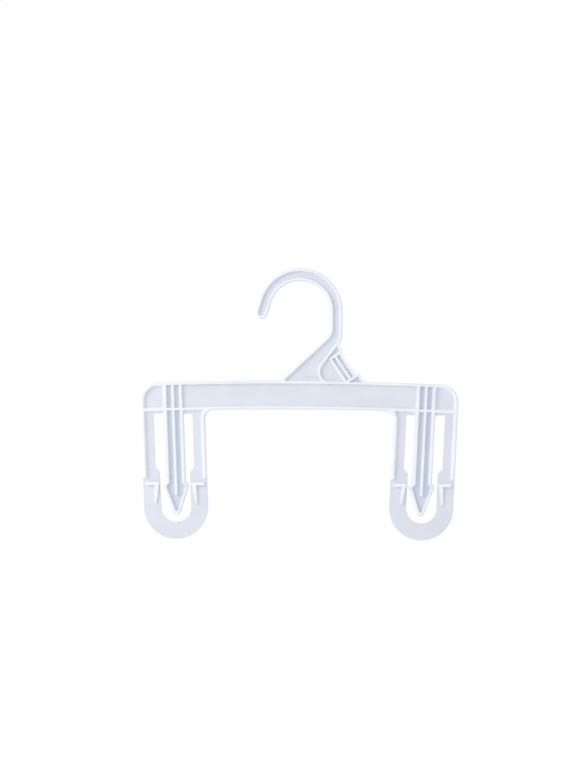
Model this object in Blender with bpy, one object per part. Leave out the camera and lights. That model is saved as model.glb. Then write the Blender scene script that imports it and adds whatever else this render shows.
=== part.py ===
"""A trouser hanger with two spring clips, moulded in one piece of plastic and parted here into its named members.

Metres, +Z up. +X runs along the crossbar, to the right as seen from the front, and the front faces -Y.
The origin is the rail seat, the highest point inside the hook. Front and back are alike.
"""

import math

import bmesh
import bpy
from mathutils import Matrix

# Hook: a round hook that opens to the left, with a straight tip
HOOK_RADIUS = 0.0235
HOOK_BAND = 0.0100
HOOK_TIP_LEAN = math.radians(17.0)
HOOK_TIP_LENGTH = 0.0103
STEM_LENGTH = 0.0095

# Neck: from the stem down to the crossbar. Bends are measured down from the hook's centre
NECK_LENGTH = 0.0549
NECK_INNER_BEND = 0.0180
NECK_OUTER_BEND = 0.0228
NECK_INNER_LEAN = math.radians(46.8)
NECK_OUTER_LEAN = math.radians(36.7)
NECK_INNER_ROUND = 0.0100
NECK_OUTER_ROUND = 0.0140
NECK_FOOT_ROUND = 0.0090
NECK_HEEL_ROUND = 0.0073
NECK_FOOT_HEIGHT = 0.0028

# Size-marker post: three ribs between two cross ribs, right of the neck
POST_LEAN = math.radians(34.0)
POST_RIB_PITCH = 0.00425
POST_RIB_WIDTH = 0.0019
POST_LENGTH = 0.0232
POST_TOP_SETBACK = 0.0041
POST_SHOULDER = 0.0020
POST_HEEL_SHOULDER = 0.0030
POST_EDGE_ROUND = 0.0008

# Crossbar
OVERALL_WIDTH = 0.2500
BAR_HEIGHT = 0.0226
BAR_RISE = 0.0027
BAR_CORNER_ROUND = 0.0142

# Clips: a loop with two legs and a round jaw, and a tongue between the legs
CLIP_SPACING = 0.1925
CLIP_LENGTH = 0.0771
CLIP_ROOT_DROP = 0.0040
LOOP_WIDTH = 0.0505
LEG_WIDTH = 0.0101
SLOT_WIDTH = 0.0071
JAW_WIDTH = 0.0135
LEG_FILLET = 0.0070
LEG_STEP_HEIGHT = 0.0272
LEG_STEP_RISE = 0.0038
LEG_STEP_ROUND = 0.0025
LOOP_RIM_HEIGHT = 0.0219
SHELF_HEIGHT = 0.0182
SHELF_THICKNESS = 0.0027
SHELF_SETBACK = 0.0010
FIN_LENGTH = 0.0159
FIN_WIDTH = 0.0026
FIN_SETBACK = 0.0016
FIN_SPLAY = 0.0014
FIN_FOOT_RISE = 0.0006
TONGUE_SHIFT = 0.0005
TONGUE_RIB_WIDTH = 0.0026
TONGUE_MIDDLE_RIB_WIDTH = 0.0023
SHOULDER_CLEARANCE = 0.0015
SHOULDER_ROUND = 0.0006
TIP_CLEARANCE = 0.0055
TIP_ROUND = 0.0033
ARROW_HALF_ANGLE = math.radians(18.8)
ARROW_POCKET_ROUND = 0.0010
MIDDLE_RIB_STOP = 0.0104

# Section: rims and ribs at full depth on a thin web
DEPTH = 0.0070
WEB = 0.0020
RIM = 0.0023
RIM_LEDGE = 0.0002

# Flexing: how far each member bends at its root, to the front and to the back
TONGUE_FLEX = math.radians(7.0)
LOOP_FLEX = math.radians(5.0)
FLEX_MARGIN = math.radians(1.0)

# Finish: white polypropylene, a little cooler on the clips
FRAME_WHITE = (0.80, 0.83, 0.91)
CLIP_WHITE = (0.78, 0.81, 0.90)
ROUGHNESS = 0.42

# Working values
GAP = 0.0003
OVERCUT = 0.0010
ARC_STEP = math.radians(7.5)
ARCH_STEP = 0.02
SMOOTH_ANGLE = math.radians(30.0)
WELD = 1e-6

# Levels and widths that follow from the sizes above
HOOK_CENTRE_Z = -HOOK_RADIUS
HOOK_CUT_Z = HOOK_CENTRE_Z - STEM_LENGTH
BAR_TOP_Z = HOOK_CENTRE_Z - NECK_LENGTH
FOOT_CUT_Z = BAR_TOP_Z + NECK_FOOT_HEIGHT
ROOT_Z = BAR_TOP_Z - BAR_HEIGHT - CLIP_ROOT_DROP
PIVOT_Z = ROOT_Z - GAP
JAW_Z = BAR_TOP_Z - BAR_HEIGHT - CLIP_LENGTH
HALF_LOOP = LOOP_WIDTH / 2
HALF_SLOTS = HALF_LOOP - LEG_WIDTH
HALF_TONGUE = HALF_SLOTS - SLOT_WIDTH
HALF_JAW = HALF_LOOP - JAW_WIDTH
HALF_ARROW = HALF_JAW - SHOULDER_CLEARANCE
TONGUE_RIB_OFFSET = HALF_TONGUE - TONGUE_RIB_WIDTH / 2
POST_WIDTH = 2 * POST_RIB_PITCH + POST_RIB_WIDTH / 2
POST_SIDE = POST_WIDTH + POST_SHOULDER
POST_HEEL_SIDE = POST_WIDTH + POST_HEEL_SHOULDER


# Outlines: lists of (x, z) or (x, z, round) corners

def arc(x, z, radius, start, end):
    """Points along a circle from one angle to another, ends included."""
    steps = max(2, math.ceil(abs(end - start) / ARC_STEP))
    angles = [start + (end - start) * i / steps for i in range(steps + 1)]
    return [(x + radius * math.cos(a), z + radius * math.sin(a)) for a in angles]


def unit(a, b):
    """The direction from point a to point b."""
    length = math.hypot(b[0] - a[0], b[1] - a[1])
    return (b[0] - a[0]) / length, (b[1] - a[1]) / length


def rounded(corners):
    """The closed outline through the corners, with an arc at each corner that states a round."""
    points = []
    for i, corner in enumerate(corners):
        if len(corner) == 2:
            points.append(corner)
            continue
        x, z, radius = corner
        ux, uz = unit(corner, corners[i - 1])
        vx, vz = unit(corner, corners[(i + 1) % len(corners)])
        half = math.acos(max(-1.0, min(1.0, ux * vx + uz * vz))) / 2
        reach = radius / math.sin(half)
        bx, bz = unit((0, 0), (ux + vx, uz + vz))
        cx, cz = x + bx * reach, z + bz * reach
        tangent = radius / math.tan(half)
        start = math.atan2(z + uz * tangent - cz, x + ux * tangent - cx)
        end = math.atan2(z + vz * tangent - cz, x + vx * tangent - cx)
        turn = (end - start + math.pi) % (2 * math.pi) - math.pi
        points += arc(cx, cz, radius, start, start + turn)
    return points


def inset(points, margin):
    """The closed outline moved inwards by margin. Its rounds are wider than margin."""
    count = len(points)
    area = sum(
        points[i - 1][0] * points[i][1] - points[i][0] * points[i - 1][1] for i in range(count)
    )
    inward = math.copysign(margin, area)
    moved = []
    for i, (x, z) in enumerate(points):
        ax, az = unit(points[i - 1], (x, z))
        bx, bz = unit((x, z), points[(i + 1) % count])
        nx, nz = -(az + bz), ax + bx
        share = inward / ((nx * -az + nz * ax))
        moved.append((x + nx * share, z + nz * share))
    return moved


def kept(points, z, above):
    """The part of a closed outline above or below a height."""
    sign = 1 if above else -1
    result = []
    for i, b in enumerate(points):
        a = points[i - 1]
        a_in, b_in = sign * (a[1] - z) >= 0, sign * (b[1] - z) >= 0
        if a_in != b_in:
            share = (z - a[1]) / (b[1] - a[1])
            result.append((a[0] + (b[0] - a[0]) * share, z))
        if b_in:
            result.append(b)
    return result


def mirrored(points):
    """The same outline on the other side of the hanger."""
    return [(-p[0], *p[1:]) for p in points]


def sided(points, side):
    """An outline drawn for the right clip, moved to the clip on that side."""
    return points if side > 0 else mirrored(points)


# Places that several members share

def bar_top(x):
    """Height of the arched crossbar's top edge."""
    return BAR_TOP_Z - BAR_RISE * (x / (OVERALL_WIDTH / 2)) ** 2


def bar_bottom(x):
    """Height of the arched crossbar's bottom edge."""
    return bar_top(x) - BAR_HEIGHT


def clip_lean():
    """Slope of the clips, which brings the legs' outer edges to the overall width at the bar's corners."""
    corner_z = bar_top(OVERALL_WIDTH / 2) - BAR_CORNER_ROUND
    return (OVERALL_WIDTH / 2 - CLIP_SPACING / 2 - HALF_LOOP) / (corner_z - JAW_Z)


def clip_x(z, offset=0.0):
    """X of the right clip's leaning centre line at a height, or of a line beside it."""
    return CLIP_SPACING / 2 + (z - JAW_Z) * clip_lean() + offset


def tongue_x(z, offset=0.0):
    """X of the right tongue's centre line at a height, or of a line beside it."""
    return clip_x(z, offset - TONGUE_SHIFT)


def on_bar(edge, offset, margin=0.0):
    """The point where a line of the right clip meets an edge of the bar, margin above that edge."""
    x = clip_x(BAR_TOP_Z, offset)
    for _ in range(4):
        x = clip_x(edge(x) + margin, offset)
    return x, edge(x) + margin


def along_bar(edge, start, end, margin=0.0):
    """Points along an arched edge of the bar, margin above it."""
    steps = max(1, round(abs(end - start) / ARCH_STEP))
    xs = [start + (end - start) * i / steps for i in range(steps + 1)]
    return [(x, edge(x) + margin) for x in xs]


def neck_inner_x(z):
    """X of the neck's left edge at a height."""
    bend_z = HOOK_CENTRE_Z - NECK_INNER_BEND
    return HOOK_RADIUS + (z - bend_z) * math.tan(NECK_INNER_LEAN)


def neck_outer_x(z, clearance=0.0):
    """X of the neck's right edge at a height, or of a line clearance outside it."""
    bend_z = HOOK_CENTRE_Z - NECK_OUTER_BEND
    x = HOOK_RADIUS + HOOK_BAND + (z - bend_z) * math.tan(NECK_OUTER_LEAN)
    return x + clearance / math.cos(NECK_OUTER_LEAN)


def heel_reach():
    """How far the heel's round reaches along the bar from the neck's right edge."""
    return NECK_HEEL_ROUND / math.tan((math.pi / 2 - NECK_OUTER_LEAN) / 2)


# Members' outlines and pockets

def stem_outline(bottom_z):
    """The hook, stem and neck as one outline, down to a height."""
    outer = HOOK_RADIUS + HOOK_BAND
    tip_angle = math.pi - HOOK_TIP_LEAN
    middle = HOOK_RADIUS + HOOK_BAND / 2
    tip_x = middle * math.cos(tip_angle) - HOOK_TIP_LENGTH * math.sin(HOOK_TIP_LEAN)
    tip_z = HOOK_CENTRE_Z + middle * math.sin(tip_angle) - HOOK_TIP_LENGTH * math.cos(HOOK_TIP_LEAN)
    return rounded([
        (neck_inner_x(bottom_z), bottom_z),
        (HOOK_RADIUS, HOOK_CENTRE_Z - NECK_INNER_BEND, NECK_INNER_ROUND),
        *arc(0, HOOK_CENTRE_Z, HOOK_RADIUS, 0, tip_angle),
        *arc(tip_x, tip_z, HOOK_BAND / 2, tip_angle - math.pi, tip_angle - 2 * math.pi),
        *arc(0, HOOK_CENTRE_Z, outer, tip_angle, 0),
        (outer, HOOK_CENTRE_Z - NECK_OUTER_BEND, NECK_OUTER_ROUND),
        (neck_outer_x(bottom_z), bottom_z),
    ])


def neck_outline(bottom_z):
    """The neck and its foot, down to a height below the bar's top edge."""
    foot_x = neck_inner_x(BAR_TOP_Z)
    heel_x = neck_outer_x(BAR_TOP_Z)
    foot_end = foot_x - 2 * NECK_FOOT_ROUND
    heel_end = heel_x + 1.2 * heel_reach()
    stem_z = HOOK_CENTRE_Z - STEM_LENGTH / 2
    return rounded([
        (foot_end, bottom_z),
        (foot_end, BAR_TOP_Z),
        (foot_x, BAR_TOP_Z, NECK_FOOT_ROUND),
        (HOOK_RADIUS, HOOK_CENTRE_Z - NECK_INNER_BEND, NECK_INNER_ROUND),
        (HOOK_RADIUS, stem_z),
        (HOOK_RADIUS + HOOK_BAND, stem_z),
        (HOOK_RADIUS + HOOK_BAND, HOOK_CENTRE_Z - NECK_OUTER_BEND, NECK_OUTER_ROUND),
        (heel_x, BAR_TOP_Z, NECK_HEEL_ROUND),
        (heel_end, BAR_TOP_Z),
        (heel_end, bottom_z),
    ])


def neck_pocket():
    """The neck's recess, which ends on the bar's top flange."""
    return kept(inset(neck_outline(BAR_TOP_Z - 2 * RIM), RIM), BAR_TOP_Z, above=True)


def post_point(along, across):
    """A point of the size-marker post, from the top of its left rib, down along it and across to the right."""
    start_z = HOOK_CENTRE_Z - NECK_OUTER_BEND - POST_TOP_SETBACK / math.cos(NECK_OUTER_LEAN)
    origin_z = start_z - 2 * POST_RIB_PITCH / math.cos(POST_LEAN)
    origin_x = neck_outer_x(origin_z, POST_RIB_WIDTH)
    down = (math.sin(POST_LEAN), -math.cos(POST_LEAN))
    right = (math.cos(POST_LEAN), math.sin(POST_LEAN))
    return (
        origin_x + along * down[0] + across * right[0],
        origin_z + along * down[1] + across * right[1],
    )


def post_box(along_start, along_end, across_start, across_end):
    """A rectangle in the post's own leaning directions."""
    return [
        post_point(along_start, across_start),
        post_point(along_end, across_start),
        post_point(along_end, across_end),
        post_point(along_start, across_end),
    ]


def reach_to_height(along, across, z):
    """The point of the post straight down a line until a height."""
    x, start_z = post_point(along, across)
    return x + (start_z - z) * math.tan(POST_LEAN), z


def reach_to_neck(along, across):
    """The point of the post straight up a line until the neck's right edge."""
    x, z = post_point(along, across)
    gap_x = neck_outer_x(z, GAP) - x
    rise = gap_x / (-math.tan(POST_LEAN) - math.tan(NECK_OUTER_LEAN))
    return x - rise * math.tan(POST_LEAN), z + rise


def post_outline():
    """The post and its gusset, between the neck's right edge and the bar's top edge."""
    half_rib = POST_RIB_WIDTH / 2
    base_x, _ = reach_to_height(0, POST_HEEL_SIDE, BAR_TOP_Z)
    heel_x = neck_outer_x(BAR_TOP_Z + GAP, GAP)
    reach = heel_reach() * (NECK_HEEL_ROUND - GAP) / NECK_HEEL_ROUND
    return rounded([
        reach_to_neck(0, POST_SIDE),
        (*post_point(half_rib, POST_SIDE), POST_EDGE_ROUND),
        post_point(half_rib, POST_WIDTH),
        post_point(POST_LENGTH - half_rib, POST_WIDTH),
        (*post_point(POST_LENGTH - half_rib, POST_HEEL_SIDE), POST_EDGE_ROUND),
        reach_to_height(0, POST_HEEL_SIDE, bar_top(base_x) + GAP),
        *along_bar(bar_top, base_x - RIM, heel_x + 1.1 * reach, GAP),
        (heel_x, BAR_TOP_Z + GAP, NECK_HEEL_ROUND - GAP),
    ])


def post_pockets():
    """The post's recesses: the gusset, the two channels between its ribs, and the corners past its cross ribs."""
    half_rib = POST_RIB_WIDTH / 2
    pitch = POST_RIB_PITCH
    far = POST_LENGTH
    gusset = post_box(half_rib, 2 * far, -2 * far, -half_rib)
    channels = [
        post_box(half_rib, POST_LENGTH - half_rib, start + half_rib, start + pitch - half_rib)
        for start in (0.0, pitch)
    ]
    top_corner = post_box(-far, -half_rib, half_rib - POST_RIB_WIDTH, POST_SIDE - POST_RIB_WIDTH)
    heel_corner = post_box(
        POST_LENGTH + half_rib, 2 * far, half_rib - POST_RIB_WIDTH, POST_HEEL_SIDE - POST_RIB_WIDTH
    )
    return [gusset, *channels, top_corner, heel_corner]


def leg_fillet_corner():
    """The corner where the right clip's inner leg meets the bar's bottom edge."""
    return on_bar(bar_bottom, -HALF_LOOP)


def crossbar_outline():
    """The crossbar with the neck's foot on it, down to the clips' roots."""
    below = ROOT_Z - LEG_FILLET
    corner = on_bar(bar_top, HALF_LOOP)
    fillet = leg_fillet_corner()
    top_stop = corner[0] - 1.5 * BAR_CORNER_ROUND
    bottom_stop = fillet[0] - 2 * LEG_FILLET
    end = [
        (clip_x(below, -HALF_LOOP), below),
        (clip_x(below, HALF_LOOP), below),
        (*corner, BAR_CORNER_ROUND),
    ]
    foot_x = neck_inner_x(BAR_TOP_Z)
    heel_x = neck_outer_x(BAR_TOP_Z)
    over = FOOT_CUT_Z + NECK_FOOT_HEIGHT + NECK_FOOT_ROUND
    return kept(kept(rounded([
        *end,
        *along_bar(bar_top, top_stop, heel_x + 1.2 * heel_reach()),
        (heel_x, BAR_TOP_Z, NECK_HEEL_ROUND),
        (neck_outer_x(over + NECK_HEEL_ROUND), over + NECK_HEEL_ROUND),
        (neck_inner_x(over), over),
        (foot_x, BAR_TOP_Z, NECK_FOOT_ROUND),
        *along_bar(bar_top, foot_x - NECK_FOOT_ROUND, -top_stop),
        *reversed(mirrored(end)),
        (*mirrored([fillet])[0], LEG_FILLET),
        *along_bar(bar_bottom, -bottom_stop, bottom_stop),
        (*fillet, LEG_FILLET),
    ]), ROOT_Z, above=True), FOOT_CUT_Z, above=False)


def rib_side(index, edge):
    """Offset of one side of a tongue rib, -1 to 1 from the hanger's middle outwards, from the clip's line."""
    width = TONGUE_RIB_WIDTH if index else TONGUE_MIDDLE_RIB_WIDTH
    return index * TONGUE_RIB_OFFSET + edge * width / 2 - TONGUE_SHIFT


def clip_columns():
    """Offsets of the recesses' left and right sides in the right clip's root, between the ribs and the end rim."""
    return [
        (rib_side(-1, 1), rib_side(0, -1)),
        (rib_side(0, 1), rib_side(1, -1)),
        (rib_side(1, 1), HALF_LOOP - RIM),
    ]


def crossbar_pockets():
    """The crossbar's recesses, between its flanges, its end rims and the tongues' ribs."""
    pockets = []
    for left, right in clip_columns():
        top_right = on_bar(bar_top, right, -RIM)
        if right == HALF_LOOP - RIM:
            top_right = (*top_right, BAR_CORNER_ROUND - RIM)
        column = rounded([
            on_bar(bar_bottom, left, RIM),
            on_bar(bar_bottom, right, RIM),
            top_right,
            on_bar(bar_top, left, -RIM),
        ])
        root = [
            on_bar(bar_bottom, left),
            on_bar(bar_bottom, right),
            (clip_x(ROOT_Z - OVERCUT, right), ROOT_Z - OVERCUT),
            (clip_x(ROOT_Z - OVERCUT, left), ROOT_Z - OVERCUT),
        ]
        pockets += [column, mirrored(column), root, mirrored(root)]
    pockets += [inner_root_pocket(), mirrored(inner_root_pocket())]
    rib = rib_side(-1, -1)
    bottom_x, _ = on_bar(bar_bottom, rib, RIM)
    top_x, _ = on_bar(bar_top, rib, -RIM)
    pockets.append([
        *along_bar(bar_bottom, -bottom_x, bottom_x, RIM),
        *along_bar(bar_top, top_x, -top_x, -RIM),
    ])
    return pockets


def inner_root_pocket():
    """The recess under the bar's bottom flange, between the inner leg's curved rim and the tongue's first rib."""
    x, z = leg_fillet_corner()
    low = ROOT_Z - LEG_FILLET
    rib = rib_side(-1, -1)
    rim_x, rim_z = on_bar(bar_bottom, RIM - HALF_LOOP, RIM)
    return kept(kept(rounded([
        (clip_x(low, rib), low),
        (clip_x(z, rib), z + 2 * RIM),
        (x - 2 * LEG_FILLET, z + 2 * RIM),
        (x - 2 * LEG_FILLET, rim_z),
        (rim_x, rim_z, LEG_FILLET + RIM),
        (clip_x(low, RIM - HALF_LOOP), low),
    ]), z, above=False), ROOT_Z - OVERCUT, above=True)


def jaw_arc(radius, start, end):
    """Points round the right clip's jaw. Angles are measured from the clip's leaning cross line."""
    lean = math.atan(clip_lean())
    return arc(CLIP_SPACING / 2, JAW_Z, radius * math.cos(lean), start - lean, end - lean)


def loop_outline():
    """The right clip's loop: its two legs and its jaw. The legs run up past their roots."""
    top = ROOT_Z + RIM
    fillet = leg_fillet_corner()
    step = JAW_Z + LEG_STEP_HEIGHT
    step_top = step + LEG_STEP_RISE
    return kept(rounded([
        (clip_x(top, HALF_LOOP), top),
        *jaw_arc(HALF_LOOP, 0, -math.pi),
        (*fillet, LEG_FILLET),
        (fillet[0] - 2 * LEG_FILLET, fillet[1]),
        (fillet[0] - 2 * LEG_FILLET, fillet[1] + RIM),
        (clip_x(fillet[1] + RIM, -HALF_SLOTS), fillet[1] + RIM),
        (clip_x(step_top, -HALF_SLOTS), step_top, LEG_STEP_ROUND),
        (clip_x(step, -HALF_JAW), step, LEG_STEP_ROUND),
        *jaw_arc(HALF_JAW, -math.pi, 0),
        (clip_x(step, HALF_JAW), step, LEG_STEP_ROUND),
        (clip_x(step_top, HALF_SLOTS), step_top, LEG_STEP_ROUND),
        (clip_x(top, HALF_SLOTS), top),
    ]), top, above=False)


def loop_rims():
    """The right loop's two rims, a small ledge in from the legs' outer edges."""
    top = ROOT_Z + RIM
    end = JAW_Z + LOOP_RIM_HEIGHT
    edge, inside = HALF_LOOP - RIM_LEDGE, HALF_LOOP - RIM
    edge_x, edge_z = on_bar(bar_bottom, -edge, RIM_LEDGE)
    rim_x, rim_z = on_bar(bar_bottom, -inside, RIM)
    outer = [
        (clip_x(end, edge), end),
        (clip_x(top, edge), top),
        (clip_x(top, inside), top),
        (clip_x(end, inside), end),
    ]
    inner = kept(rounded([
        (clip_x(end, -edge), end),
        (edge_x, edge_z, LEG_FILLET + RIM_LEDGE),
        (edge_x - 2 * LEG_FILLET, edge_z),
        (edge_x - 2 * LEG_FILLET, rim_z),
        (rim_x, rim_z, LEG_FILLET + RIM),
        (clip_x(end, -inside), end),
    ]), top, above=False)
    return [outer, inner]


def shelves():
    """The right loop's two shelf ribs, level with the arrowhead's shoulders."""
    low = JAW_Z + SHELF_HEIGHT - SHELF_THICKNESS / 2
    high = low + SHELF_THICKNESS
    near, far = HALF_JAW + SHELF_SETBACK, HALF_LOOP - RIM
    return [
        [(clip_x(z, side * offset), z) for z, offset in ((low, near), (low, far), (high, far), (high, near))]
        for side in (-1, 1)
    ]


def tip_z():
    """Height of the arrowhead's lowest point, above the jaw's inside."""
    return JAW_Z - HALF_JAW + TIP_CLEARANCE


def shoulder_z():
    """Height of the arrowhead's shoulders, from the tip and the arrow's angle."""
    apex_z = tip_z() - TIP_ROUND / math.sin(ARROW_HALF_ANGLE) + TIP_ROUND
    return apex_z + HALF_ARROW / math.tan(ARROW_HALF_ANGLE)


def tongue_outline():
    """The right clip's tongue: a straight shank and an arrowhead. It runs up past its root."""
    top = ROOT_Z + RIM
    shoulder = shoulder_z()
    apex = shoulder - HALF_ARROW / math.tan(ARROW_HALF_ANGLE)
    step = shoulder + HALF_ARROW - HALF_TONGUE
    return rounded([
        (tongue_x(top, -HALF_TONGUE), top),
        (tongue_x(step, -HALF_TONGUE), step),
        (tongue_x(shoulder, -HALF_ARROW), shoulder, SHOULDER_ROUND),
        (tongue_x(apex), apex, TIP_ROUND),
        (tongue_x(shoulder, HALF_ARROW), shoulder, SHOULDER_ROUND),
        (tongue_x(step, HALF_TONGUE), step),
        (tongue_x(top, HALF_TONGUE), top),
    ])


def tongue_pocket():
    """The right tongue's recess: two channels that widen and join in the arrowhead, below the middle rib."""
    top = ROOT_Z + 2 * RIM
    slope = math.tan(ARROW_HALF_ANGLE)
    half_shank = HALF_TONGUE - TONGUE_RIB_WIDTH
    half_inside = HALF_ARROW - RIM / math.cos(ARROW_HALF_ANGLE)
    apex = shoulder_z() - half_inside / slope
    drop = RIM * (math.sqrt(2) - 1 / math.cos(ARROW_HALF_ANGLE)) / (1 + slope)
    wide = half_inside - drop * slope
    shoulder = shoulder_z() - drop
    step = shoulder + wide - half_shank
    half_rib = TONGUE_MIDDLE_RIB_WIDTH / 2
    stop = JAW_Z + MIDDLE_RIB_STOP
    return rounded([
        (tongue_x(top, -half_shank), top),
        (tongue_x(step, -half_shank), step),
        (tongue_x(shoulder, -wide), shoulder, ARROW_POCKET_ROUND),
        (tongue_x(apex), apex, TIP_ROUND - RIM),
        (tongue_x(shoulder, wide), shoulder, ARROW_POCKET_ROUND),
        (tongue_x(step, half_shank), step),
        (tongue_x(top, half_shank), top),
        (tongue_x(top, half_rib), top),
        *reversed(arc(tongue_x(stop), stop, half_rib, -math.pi, 0)),
        (tongue_x(top, -half_rib), top),
    ])


# Solids

def slab(name, outlines, half_depth, collection, centre_y=0.0):
    """A mesh object of that half depth from flat outlines in the XZ plane."""
    curve = bpy.data.curves.new(name + "_outline", "CURVE")
    curve.dimensions = "2D"
    curve.fill_mode = "BOTH"
    curve.extrude = half_depth
    for outline in outlines:
        spline = curve.splines.new("POLY")
        spline.points.add(len(outline) - 1)
        for point, (x, z) in zip(spline.points, outline):
            point.co = (x, z, 0.0, 1.0)
        spline.use_cyclic_u = True
    drawing = bpy.data.objects.new(curve.name, curve)
    drawing.matrix_world = Matrix.Translation((0, centre_y, 0)) @ Matrix.Rotation(math.pi / 2, 4, "X")
    collection.objects.link(drawing)
    bpy.context.view_layer.update()
    evaluated = drawing.evaluated_get(bpy.context.evaluated_depsgraph_get())
    mesh = bpy.data.meshes.new_from_object(evaluated)
    mesh.name = name
    weld(mesh)
    piece = bpy.data.objects.new(name, mesh)
    piece.matrix_world = drawing.matrix_world
    collection.objects.link(piece)
    bpy.data.objects.remove(drawing)
    bpy.data.curves.remove(curve)
    return piece


def weld(mesh):
    """Joins a mesh's coincident points and turns its faces outwards."""
    edit = bmesh.new()
    edit.from_mesh(mesh)
    bmesh.ops.remove_doubles(edit, verts=edit.verts, dist=WELD)
    bmesh.ops.recalc_face_normals(edit, faces=edit.faces)
    edit.to_mesh(mesh)
    edit.free()


def combine(piece, other, operation):
    """A Boolean modifier on piece that joins another object to it or cuts it away."""
    modifier = piece.modifiers.new(other.name, "BOOLEAN")
    modifier.operation = operation
    modifier.solver = "EXACT"
    modifier.object = other


def hide_cutter(cutter):
    """Marks an object as one that only cuts or guides."""
    cutter.hide_render = True
    cutter.display_type = "WIRE"


def cut_pockets(piece, outlines, cutters):
    """Cuts the recesses into the front and the back of a member, down to its web."""
    depth = DEPTH / 2 + OVERCUT - WEB / 2
    centre = WEB / 2 + depth / 2
    for face, y in (("front", -centre), ("back", centre)):
        cutter = slab(f"{piece.name}_{face}_pockets", outlines, depth / 2, cutters, y)
        hide_cutter(cutter)
        combine(piece, cutter, "DIFFERENCE")


def cut_root(piece, flex, side, cutters):
    """Trims the top of a bending member to a low ridge on its hinge line, so that it swings clear of the bar."""
    reach = DEPTH / 2 + OVERCUT
    drop = reach * math.tan(flex + FLEX_MARGIN)
    width = LOOP_WIDTH + 4 * LEG_FILLET
    top = 4 * RIM
    cutter = slab(piece.name + "_root_cut", [[
        (-reach, -drop), (0.0, 0.0), (reach, -drop), (reach, top), (-reach, top),
    ]], width / 2, cutters)
    turn = Matrix.Rotation(math.pi / 2, 4, "Z")
    cutter.matrix_world = Matrix.Translation((side * clip_x(PIVOT_Z), 0, PIVOT_Z)) @ turn @ cutter.matrix_world
    hide_cutter(cutter)
    combine(piece, cutter, "DIFFERENCE")


def fin(name, side_in_clip, side, cutters):
    """A wedge below a shelf, deep at its top, and low at its foot, which stands further out on the leg."""
    top = JAW_Z + SHELF_HEIGHT
    foot = top - FIN_LENGTH
    depth = DEPTH / 2 - RIM / 8
    foot_depth = WEB / 2 + FIN_FOOT_RISE
    half = FIN_WIDTH / 2
    offset = HALF_JAW + FIN_SETBACK + half
    top_x = clip_x(top, side_in_clip * offset)
    foot_x = clip_x(foot, side_in_clip * (offset + FIN_SPLAY))
    wedge = slab(name, [sided([
        (top_x - half, top), (top_x + half, top), (foot_x + half, foot), (foot_x - half, foot),
    ], side)], depth, cutters)
    for vertex in wedge.data.vertices:
        if vertex.co.y < (top + foot) / 2:
            vertex.co.z *= foot_depth / depth
    hide_cutter(wedge)
    return wedge


def hinge_empty(name, side, collection):
    """An empty on the line about which a clip's member bends."""
    empty = bpy.data.objects.new(name, None)
    empty.empty_display_size = LEG_WIDTH
    empty.location = (side * clip_x(PIVOT_Z), 0, PIVOT_Z)
    collection.objects.link(empty)
    bpy.context.view_layer.update()
    return empty


def hang_from(piece, empty):
    """Parents a piece to an empty and leaves it where it is."""
    piece.parent = empty
    piece.matrix_parent_inverse = empty.matrix_world.inverted()


# Members

def plastic(name, colour):
    """The hanger's white polypropylene."""
    material = bpy.data.materials.new(name)
    material.use_nodes = True
    shader = material.node_tree.nodes["Principled BSDF"]
    shader.inputs["Base Color"].default_value = (*colour, 1.0)
    shader.inputs["Roughness"].default_value = ROUGHNESS
    shader.inputs["Metallic"].default_value = 0.0
    return material


def dress(piece, colour):
    """Gives a member its own material and smooth round sides."""
    piece.data.materials.clear()
    piece.data.materials.append(plastic(piece.name + "_plastic", colour))
    piece.data.shade_smooth()
    piece.data.set_sharp_from_angle(angle=SMOOTH_ANGLE)


def make_hook(hanger, cutters):
    """The round hook, its straight tip and the top of the stem."""
    outline = stem_outline(HOOK_CENTRE_Z - NECK_OUTER_BEND - NECK_OUTER_ROUND)
    hook = slab("hook", [kept(outline, HOOK_CUT_Z, above=True)], DEPTH / 2, hanger)
    pocket = kept(inset(outline, RIM), HOOK_CUT_Z - OVERCUT, above=True)
    cut_pockets(hook, [pocket], cutters)
    dress(hook, FRAME_WHITE)


def make_neck(hanger, cutters):
    """The bent neck, which widens towards the crossbar."""
    outline = kept(neck_outline(BAR_TOP_Z - RIM), HOOK_CUT_Z - GAP, above=False)
    neck = slab("neck", [kept(outline, FOOT_CUT_Z + GAP, above=True)], DEPTH / 2, hanger)
    whole = inset(stem_and_neck(), RIM)
    pocket = kept(kept(whole, FOOT_CUT_Z, above=True), HOOK_CUT_Z, above=False)
    cut_pockets(neck, [pocket], cutters)
    dress(neck, FRAME_WHITE)


def stem_and_neck():
    """The neck's outline run on up the stem, so that its recess passes into the hook's."""
    low = BAR_TOP_Z - 2 * RIM
    return [
        (x, z + 2 * RIM) if z > HOOK_CUT_Z else (x, z) for x, z in neck_outline(low)
    ]


def make_post(hanger, cutters):
    """The size-marker post and its gusset."""
    post = slab("size_marker_post", [post_outline()], DEPTH / 2, hanger)
    for index, outline in enumerate(post_pockets()):
        depth = DEPTH / 2 + OVERCUT - WEB / 2
        centre = WEB / 2 + depth / 2
        for face, y in (("front", -centre), ("back", centre)):
            cutter = slab(f"post_{face}_pocket_{index}", [outline], depth / 2, cutters, y)
            hide_cutter(cutter)
            combine(post, cutter, "DIFFERENCE")
    dress(post, FRAME_WHITE)


def make_crossbar(hanger, cutters):
    """The arched bar with the neck's foot and the clips' roots."""
    crossbar = slab("crossbar", [crossbar_outline()], DEPTH / 2, hanger)
    foot = kept(neck_pocket(), FOOT_CUT_Z + OVERCUT, above=False)
    cut_pockets(crossbar, [*crossbar_pockets(), foot], cutters)
    dress(crossbar, FRAME_WHITE)


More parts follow.
